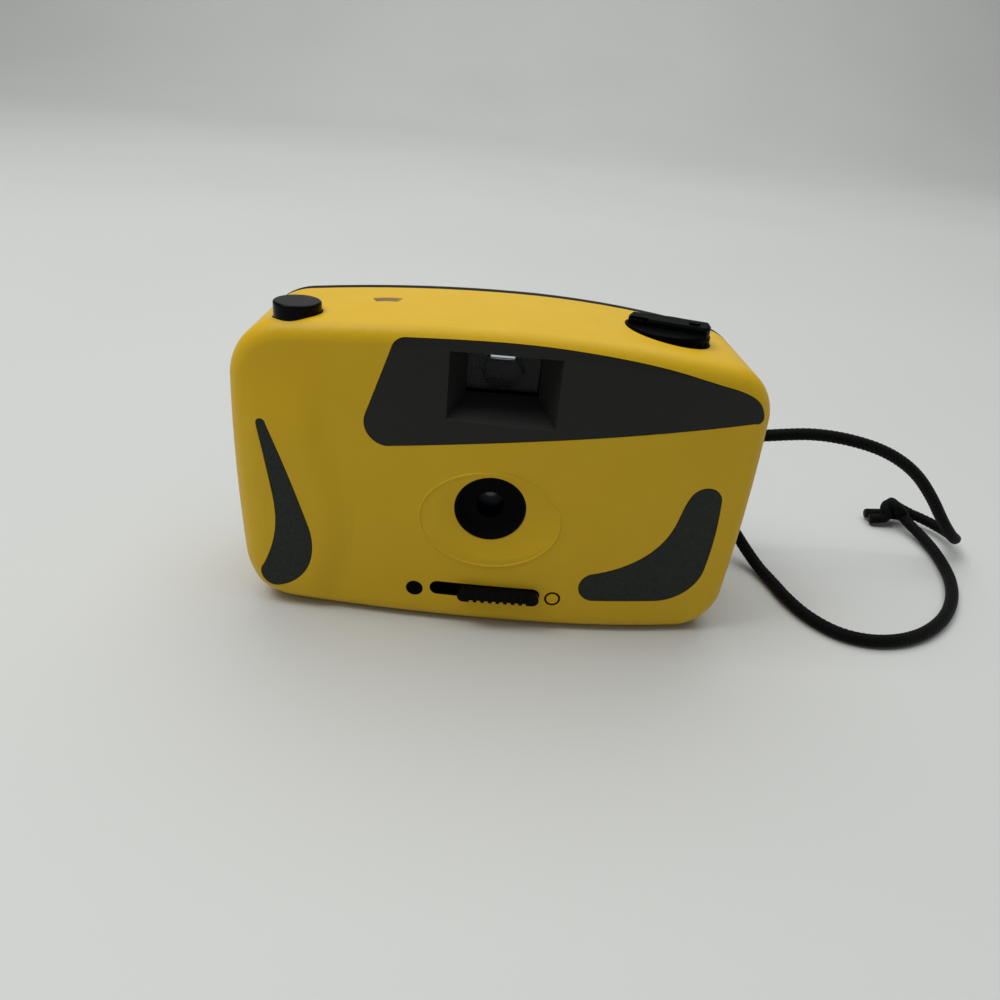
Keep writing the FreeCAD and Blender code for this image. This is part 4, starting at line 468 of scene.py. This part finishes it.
def swollen_copy(node, name, finish):
    """A copy of a node whose front skin stands out where the fingers hold it."""
    piece = merged_copy(node)
    skin = skin_of(piece)
    for face in piece.data.polygons:
        face.select = not (face.normal.y < -FRONT_LOOK and face.center.y < FACE_REACH * MM)
    bpy.ops.object.mode_set(mode="EDIT")
    bpy.ops.mesh.select_mode(type="FACE")
    bpy.ops.mesh.hide(unselected=False)
    for axis, low, high in ((0, *CUTS_ACROSS), (2, *CUTS_UP)):
        for index in range(round((high - low) / CUT_SPACING) + 1):
            place = [0.0, 0.0, 0.0]
            place[axis] = (low + index * CUT_SPACING) * MM
            across = [float(i == axis) for i in range(3)]
            bpy.ops.mesh.select_all(action="SELECT")
            bpy.ops.mesh.bisect(plane_co=place, plane_no=across)
    bpy.ops.mesh.select_all(action="SELECT")
    bpy.ops.mesh.quads_convert_to_tris()
    bpy.ops.mesh.reveal(select=False)
    bpy.ops.object.mode_set(mode="OBJECT")
    for vertex in piece.data.vertices:
        x, y, z = vertex.co / MM
        swell = swell_at(x, z)
        if swell > LEAST_SWELL and y < VERTEX_REACH:
            face = foremost(skin, x, z)
            if face is None or y - face.y / MM < SKIN_DEPTH:
                vertex.co.y -= swell * MM
    bpy.ops.object.shade_smooth_by_angle(angle=math.radians(SKIN_ANGLE))
    weigh = piece.modifiers.new("even shading", "WEIGHTED_NORMAL")
    weigh.keep_sharp = True
    bpy.ops.object.modifier_apply(modifier="even shading")
    settle(piece, name, "camera_case", finish)
    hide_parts(node)
    return piece


def oval_edge(cover, name, finish):
    """The rounded edge of the dimple: a fine bead along its oval, partly sunk into the cover's skin."""
    skin = skin_of(cover)
    line = []
    for index in range(EDGE_STEPS):
        angle = 2 * math.pi * index / EDGE_STEPS
        x = DIMPLE_MIDDLE[0] + DIMPLE_HALF[0] * math.cos(angle)
        z = DIMPLE_MIDDLE[1] + DIMPLE_HALF[1] * math.sin(angle)
        line.append(foremost(skin, x, z) + Vector((0, DIMPLE_EDGE * EDGE_SUNK, 0)) * MM)
    vertices, faces = [], []
    for index, place in enumerate(line):
        ahead = (line[(index + 1) % EDGE_STEPS] - line[index - 1]).normalized()
        side = Vector((0, -1, 0)).cross(ahead).normalized()
        out = ahead.cross(side)
        first, after = index * EDGE_SIDES, (index + 1) % EDGE_STEPS * EDGE_SIDES
        for turn in range(EDGE_SIDES):
            angle = 2 * math.pi * turn / EDGE_SIDES
            vertices.append(place + (side * math.cos(angle) + out * math.sin(angle)) * DIMPLE_EDGE * MM)
            beside = (turn + 1) % EDGE_SIDES
            faces.append((first + turn, first + beside, after + beside, after + turn))
    mesh = bpy.data.meshes.new(name)
    mesh.from_pydata(vertices, [], faces)
    return settle(smooth_piece(name, mesh), name, "camera_case", finish)


def pressed_spring(node, body, joint, travel, held, finish):
    """A copy of a spring with its doubled vertices merged and shaded smooth, riding on its body in the node's
    place.
    """
    piece = merged_copy(node)
    bpy.ops.object.shade_smooth_by_angle(angle=math.radians(SPRING_ANGLE))
    settle(piece, "pressed_" + node, body, finish)
    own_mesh(piece)
    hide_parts(node)
    return piece


def strap_line(name, points):
    """The middle line of one stretch of cord: a smooth curve led by its route's points, in metres."""
    data = bpy.data.curves.new(name, "CURVE")
    data.dimensions = "3D"
    data.resolution_u = 24
    spline = data.splines.new("NURBS")
    spline.points.add(len(points) - 1)
    for point, place in zip(spline.points, points):
        point.co = (place[0] * MM, place[1] * MM, place[2] * MM, 1)
    spline.order_u = 3
    spline.use_endpoint_u = True
    holder = bpy.data.objects.new(name, data)
    bpy.context.collection.objects.link(holder)
    bpy.context.view_layer.update()
    mesh = bpy.data.meshes.new_from_object(holder)
    line = [vertex.co.copy() for vertex in mesh.vertices]
    bpy.data.objects.remove(holder)
    bpy.data.meshes.remove(mesh)
    return line


def even_steps(line, step):
    """The same line with its points a fixed distance apart."""
    length = sum((b - a).length for a, b in zip(line, line[1:]))
    count = max(FEWEST_STEPS, round(length / step))
    gap = length / count
    points = [line[0].copy()]
    walked = 0.0
    for a, b in zip(line, line[1:]):
        run = (b - a).length
        while len(points) < count and walked + run >= gap * len(points) - 1e-9:
            points.append(a.lerp(b, (gap * len(points) - walked) / run))
        walked += run
    points.append(line[-1].copy())
    return points, length


def braided_cord(name, lines, diameter, plait):
    """A closed mesh of plaited cord round each line: eight yarns, over and under, in diamond relief."""
    vertices, faces, marks = [], [], []
    for line in lines:
        points, length = even_steps(line, plait / RINGS_PER_PLAIT)
        first = len(vertices)
        side = None
        for index, point in enumerate(points):
            ahead = points[min(index + 1, len(points) - 1)] - points[max(index - 1, 0)]
            ahead.normalize()
            if side is None:
                side = ahead.cross(Vector(OFF_LINE)).normalized()
            side = (side - ahead * side.dot(ahead)).normalized()
            other = ahead.cross(side)
            travel = length * index / (len(points) - 1) / plait
            end = CUT_END if index in (0, len(points) - 1) else 1.0
            for turn in range(CORD_SIDES):
                angle = 2 * math.pi * turn / CORD_SIDES
                share = YARNS / 2 * turn / CORD_SIDES
                relief = abs(math.sin(math.pi * (travel + share)) * math.sin(math.pi * (travel - share)))
                radius = diameter / 2 * (1 - RELIEF_SHARE + RELIEF_SHARE * relief ** RELIEF_POWER) * end
                vertices.append(point + (side * math.cos(angle) + other * math.sin(angle)) * radius)
                marks.append((travel * plait / MM, YARNS * turn / CORD_SIDES))
        for index in range(len(points) - 1):
            for turn in range(CORD_SIDES):
                a = first + index * CORD_SIDES + turn
                b = first + index * CORD_SIDES + (turn + 1) % CORD_SIDES
                faces.append((a, b, b + CORD_SIDES, a + CORD_SIDES))
        faces.append(tuple(first + turn for turn in reversed(range(CORD_SIDES))))
        last = first + (len(points) - 1) * CORD_SIDES
        faces.append(tuple(last + turn for turn in range(CORD_SIDES)))
    mesh = bpy.data.meshes.new(name)
    mesh.from_pydata(vertices, [], faces)
    layer = mesh.uv_layers.new(name="plait")
    # The face that closes a ring runs on past the last yarn, where its far corners would fall back to 0.
    for face in mesh.polygons:
        for corner in face.loop_indices:
            u, v = marks[mesh.loops[corner].vertex_index]
            if len(face.vertices) == 4 and max(marks[i][1] for i in face.vertices) - v > YARNS - 2:
                v += YARNS
            layer.data[corner].uv = (u, v)
    return smooth_piece(name, mesh)


class CameraFinishes(bpy.types.PropertyGroup):
    """Colours of the camera's plastics, rubber, glass and steel."""
    shell: bpy.props.FloatVectorProperty(name="Shell", description="Yellow ABS of the front cover",
                                         size=4, subtype="COLOR", default=linear("#E1B71C"))
    panel: bpy.props.FloatVectorProperty(name="Panel", description="Grey panel round the viewfinder",
                                         size=4, subtype="COLOR", default=linear("#1E201D"))
    grip: bpy.props.FloatVectorProperty(name="Grip", description="Rubber of the two grips",
                                        size=4, subtype="COLOR", default=linear("#232823"))
    black: bpy.props.FloatVectorProperty(name="Black plastic", description="Rear frame, door and chassis",
                                         size=4, subtype="COLOR", default=linear("#090A0A"))
    gloss: bpy.props.FloatVectorProperty(name="Black controls", description="Button, slide and crank",
                                         size=4, subtype="COLOR", default=linear("#030404"))
    steel: bpy.props.FloatVectorProperty(name="Steel", description="Pins, screws and levers",
                                         size=4, subtype="COLOR", default=linear("#B9BABA"))


class WristStrap(bpy.types.PropertyGroup):
    """Sizes and colour of the wrist strap."""
    diameter: bpy.props.FloatProperty(name="Diameter", description="Thickness of the cord",
                                      default=3.4 * MM, min=1.5 * MM, max=5 * MM,
                                      subtype="DISTANCE", unit="LENGTH")
    plait: bpy.props.FloatProperty(name="Plait", description="Length of one diamond of the braid",
                                   default=1.5 * MM, min=0.8 * MM, max=3 * MM,
                                   subtype="DISTANCE", unit="LENGTH")
    colour: bpy.props.FloatVectorProperty(name="Colour", description="Colour of the yarn",
                                          size=4, subtype="COLOR", default=linear("#030304"))


class CameraStage(bpy.types.PropertyGroup):
    """The table, the light and the camera that looks at it."""
    table: bpy.props.FloatVectorProperty(name="Table", description="Colour of the pale table", size=4,
                                         subtype="COLOR", default=linear("#D2D4D1"))
    lens: bpy.props.FloatProperty(name="Lens", description="Focal length on a 36 mm wide sensor",
                                  default=27.04, min=10, max=200, subtype="DISTANCE_CAMERA")


class FILMCAM_OT_view(bpy.types.Operator):
    """Places the camera where the photograph was taken: in front of the lens and half a hand above it"""
    bl_idname = "filmcam.view"
    bl_label = "Viewpoint"

    def execute(self, context):
        data = bpy.data.cameras.new("viewpoint")
        data.lens = context.scene.filmcam_stage.lens
        data.sensor_width = 36.0
        data.clip_start = 0.01
        eye = bpy.data.objects.new("viewpoint", data)
        eye.location = [value * MM for value in EYE_PLACE]
        yaw, pitch, roll = (math.radians(angle) for angle in (EYE_YAW, 90 - EYE_DOWN, EYE_ROLL))
        aim = Matrix.Rotation(yaw, 3, "Z") @ Matrix.Rotation(pitch, 3, "X")
        eye.rotation_euler = (aim @ Matrix.Rotation(roll, 3, "Z")).to_euler()
        context.collection.objects.link(eye)
        context.scene.camera = eye
        return {"FINISHED"}


class FILMCAM_OT_strap(bpy.types.Operator):
    """Plaits the wrist strap: its loop round the lug's pin, two strands and the knot that joins them"""
    bl_idname = "filmcam.strap"
    bl_label = "Wrist strap"

    def execute(self, context):
        strap = context.scene.filmcam_strap
        yarn = braided_polyester(tuple(strap.colour))
        lug = braided_cord("strap_loop", [strap_line("loop", LUG_LOOP)], strap.diameter, strap.plait)
        settle(lug, "strap_loop", "camera_case", yarn)
        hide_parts("strap_hitch")
        ends = [strap_line("knot_a", KNOT_UPPER), strap_line("knot_b", KNOT_LOWER)]
        knot = braided_cord("tied_knot", ends, strap.diameter, strap.plait)
        settle(knot, "tied_knot", "camera_case", yarn)
        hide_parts("strap_knot")
        for name, route, node in (("upper_strand", UPPER_STRAND, "strap_cord_upper"),
                                  ("lower_strand", LOWER_STRAND, "strap_cord_lower")):
            line = strap_line(name, route)
            strand = braided_cord(name, [line], strap.diameter, strap.plait)
            settle(strand, name, "camera_case", yarn)
            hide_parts(node)
        return {"FINISHED"}


class FILMCAM_OT_shell(bpy.types.Operator):
    """Finishes the yellow front cover, the panel round the viewfinder and the two grips"""
    bl_idname = "filmcam.shell"
    bl_label = "Outer shell"

    def execute(self, context):
        look = context.scene.filmcam_finishes
        yellow = yellow_abs(tuple(look.shell))
        rubber = grip_rubber(tuple(look.grip))
        panel = satin("grey moulded ABS", tuple(look.panel), low=0.42, high=0.55)
        cover = swollen_copy("front_cover", "shaped_front_cover", yellow)
        oval_edge(cover, "dimple_edge", yellow)
        swollen_copy("left_grip", "shaped_left_grip", rubber)
        finish_nodes(["viewfinder_panel"], panel)
        finish_nodes(["right_grip"], rubber)
        return {"FINISHED"}


class FILMCAM_OT_black_parts(bpy.types.Operator):
    """Finishes the rear frame, door, chassis and inner parts, the black controls and the lens dish"""
    bl_idname = "filmcam.black_parts"
    bl_label = "Black plastic"

    def execute(self, context):
        look = context.scene.filmcam_finishes
        matte = satin("black moulded ABS", tuple(look.black), low=0.45, high=0.6, gloss=0.07)
        glossy = satin("polished black ABS", tuple(look.gloss), low=0.12, high=0.22,
                       size_mm=0.6, gloss=0.06)
        blasted = satin("black ABS from a blasted mould", tuple(look.gloss), low=0.3, high=0.42,
                        size_mm=0.4, gloss=0.01)
        eroded = satin("black ABS, spark-eroded against reflections", linear("#040505"),
                       low=0.7, high=0.8, gloss=0.05)
        acetal = satin("natural acetal", linear("#DEDED6"), low=0.4, high=0.5)
        blackened = satin("blackened steel sheet", linear("#1C1C1D"), low=0.35, high=0.5)
        finish_nodes(["rear_frame", "film_door", "film_chassis", "lens_cover_plate", "take_up_spool",
                      "advance_wheel", "rewind_shaft", "rewind_drag_washer"], matte)
        finish_nodes(["lens_dish", "lens_barrel", "lens_retaining_ring", "viewfinder_tunnel"], eroded)
        finish_nodes(["shutter_button", "rewind_release", "door_latch", "cover_slide_knob"], glossy)
        finish_nodes(["rewind_knob", "rewind_crank", "crank_handle"], blasted)
        finish_nodes(["sprocket_shaft", "counter_dial"], acetal)
        finish_nodes(["shutter_plate", "shutter_blade", "aperture_disc", "pressure_plate"], blackened)
        finish_nodes(["door_light_seals"], light_seal_foam())
        return {"FINISHED"}


class FILMCAM_OT_clear_parts(bpy.types.Operator):
    """Finishes the lenses, the viewfinder's glasses and the two windows"""
    bl_idname = "filmcam.clear_parts"
    bl_label = "Glass and windows"

    def execute(self, context):
        coated = clear_acrylic("coated lens glass", linear("#C4CCD4"), roughness=0.0,
                               shine=1.0, gloss=0.5, clear=0.9)
        plain = clear_acrylic("clear acrylic", linear("#E9EEF0"), roughness=0.0)
        thin = clear_acrylic("clear counter window", linear("#E4E6E2"), roughness=0.02,
                             clear=0.0, alpha=0.1)
        smoked = clear_acrylic("smoked film window", linear("#3A3C40"), roughness=0.05)
        finish_nodes(["front_lens", "rear_lens"], coated)
        finish_nodes(["viewfinder_front_lens", "eyepiece_lens"], plain)
        finish_nodes(["counter_window"], thin)
        finish_nodes(["film_window"], smoked)
        return {"FINISHED"}


class FILMCAM_OT_steel_parts(bpy.types.Operator):
    """Finishes the pins, screws, levers and springs"""
    bl_idname = "filmcam.steel_parts"
    bl_label = "Steel"

    def execute(self, context):
        look = context.scene.filmcam_finishes
        turned = turned_steel("turned steel", tuple(look.steel), roughness=0.3)
        wire = turned_steel("drawn spring wire", linear("#9C9D9D"), roughness=0.25)
        finish_nodes(["blade_pin", "release_lever", "lever_pin", "shutter_screws", "wheel_screw",
                      "advance_pawl", "pawl_pin", "crank_pin", "strap_lug_pin", "door_hinge_pin",
                      "case_screws"], turned)
        finish_nodes(["blade_spring", "lever_spring", "pawl_spring", "pressure_spring"], wire)
        for spring in PRESSED_SPRINGS:
            pressed_spring(*spring, wire)
        return {"FINISHED"}


class FILMCAM_OT_counter_numbers(bpy.types.Operator):
    """Prints the frame numbers on the counter dial"""
    bl_idname = "filmcam.counter_numbers"
    bl_label = "Frame numbers"

    def execute(self, context):
        ink = satin("printed black ink", linear("#101010"), low=0.5, high=0.6)
        low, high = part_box("counter_dial")
        centre = ((low[0] + high[0]) / 2, (low[1] + high[1]) / 2)
        parts = []
        for index in range(NUMBER_COUNT):
            angle = math.radians(90 + index * 360 / NUMBER_COUNT)
            bpy.ops.object.text_add()
            text = context.object
            text.data.body = str(index * FRAMES_BETWEEN)
            text.data.size = NUMBER_SIZE * MM
            text.data.align_x = "CENTER"
            text.data.align_y = "CENTER"
            text.data.extrude = INK_THICKNESS * MM
            text.location = (centre[0] + NUMBER_RADIUS * MM * math.cos(angle),
                             centre[1] + NUMBER_RADIUS * MM * math.sin(angle),
                             high[2] + INK_THICKNESS * MM)
            text.rotation_euler = (0, 0, angle - math.pi / 2)
            bpy.ops.object.convert(target="MESH")
            parts.append(context.object)
        bpy.ops.object.select_all(action="DESELECT")
        for part in parts:
            part.select_set(True)
        context.view_layer.objects.active = parts[0]
        bpy.ops.object.join()
        settle(context.object, "frame_numbers", "counter_dial", ink)
        return {"FINISHED"}


class FILMCAM_OT_stage(bpy.types.Operator):
    """Lays the pale table and sets the soft light"""
    bl_idname = "filmcam.stage"
    bl_label = "Table and light"

    def execute(self, context):
        stage = context.scene.filmcam_stage
        pale = tuple(stage.table)
        finish, tree, shader, place = start_finish("pale laminate table", pale, roughness=0.6)
        cloud = add_node(tree, "ShaderNodeTexNoise", {"Scale": 3.0, "Detail": 2.0}, {"Vector": place})
        tone = add_node(tree, "ShaderNodeMix", {6: pale, 7: linear("#C9CBC8")},
                        {0: cloud.outputs["Fac"]}, data_type="RGBA")
        tree.links.new(tone.outputs[2], shader.inputs["Base Color"])
        bpy.ops.object.select_all(action="DESELECT")
        bpy.ops.mesh.primitive_plane_add(size=TABLE_WIDTH, location=(0, TABLE_MIDDLE, 0))
        table = context.object
        bpy.ops.object.mode_set(mode="EDIT")
        bpy.ops.mesh.select_all(action="DESELECT")
        bpy.ops.object.mode_set(mode="OBJECT")
        for edge in table.data.edges:
            edge.select = all(table.data.vertices[i].co.y > 0 for i in edge.vertices)
        bpy.ops.object.mode_set(mode="EDIT")
        bpy.ops.mesh.select_mode(type="EDGE")
        bpy.ops.mesh.extrude_region_move(TRANSFORM_OT_translate={"value": (0, 0, BACK_HEIGHT)})
        bpy.ops.object.mode_set(mode="OBJECT")
        sweep = table.modifiers.new("sweep", "BEVEL")
        sweep.width = SWEEP_RADIUS
        sweep.segments = 24
        bpy.ops.object.modifier_apply(modifier="sweep")
        bpy.ops.object.shade_smooth()
        table.name = "table_sweep"
        table.data.materials.append(finish)
        world = bpy.data.worlds.new("soft room")
        context.scene.world = world
        world.use_nodes = True
        air = world.node_tree.nodes["Background"].inputs
        air["Color"].default_value = linear(ROOM_COLOUR)
        air["Strength"].default_value = ROOM_STRENGTH
        for name, place, turn, size, power in LIGHTS:
            data = bpy.data.lights.new(name, "AREA")
            data.size = size
            data.energy = power
            lamp = bpy.data.objects.new(name, data)
            lamp.location = place
            lamp.rotation_euler = [math.radians(angle) for angle in turn]
            context.collection.objects.link(lamp)
        context.scene.view_settings.view_transform = "Standard"
        return {"FINISHED"}


class FILMCAM_PT_panel(bpy.types.Panel):
    """Lists the camera's groups of pieces"""
    bl_idname = "FILMCAM_PT_panel"
    bl_label = "Film Camera"
    bl_space_type = "VIEW_3D"
    bl_region_type = "UI"
    bl_category = "Film Camera"

    def draw(self, context):
        for step in STEPS:
            self.layout.operator(step.bl_idname)


GROUPS = (CameraFinishes, WristStrap, CameraStage)
STEPS = (FILMCAM_OT_view, FILMCAM_OT_strap, FILMCAM_OT_shell, FILMCAM_OT_black_parts,
         FILMCAM_OT_clear_parts, FILMCAM_OT_steel_parts, FILMCAM_OT_counter_numbers, FILMCAM_OT_stage)


def register():
    for item in (*GROUPS, *STEPS, FILMCAM_PT_panel):
        bpy.utils.register_class(item)
    bpy.types.Scene.filmcam_finishes = bpy.props.PointerProperty(type=CameraFinishes)
    bpy.types.Scene.filmcam_strap = bpy.props.PointerProperty(type=WristStrap)
    bpy.types.Scene.filmcam_stage = bpy.props.PointerProperty(type=CameraStage)


def unregister():
    del bpy.types.Scene.filmcam_stage
    del bpy.types.Scene.filmcam_strap
    del bpy.types.Scene.filmcam_finishes
    for item in reversed((*GROUPS, *STEPS, FILMCAM_PT_panel)):
        bpy.utils.unregister_class(item)


def main():
    register()
    bpy.ops.object.select_all(action="DESELECT")
    bpy.ops.filmcam.view()
    bpy.ops.filmcam.strap()
    bpy.ops.filmcam.shell()
    bpy.ops.filmcam.black_parts()
    bpy.ops.filmcam.clear_parts()
    bpy.ops.filmcam.steel_parts()
    bpy.ops.filmcam.counter_numbers()
    bpy.ops.filmcam.stage()


if __name__ == "__main__":
    main()
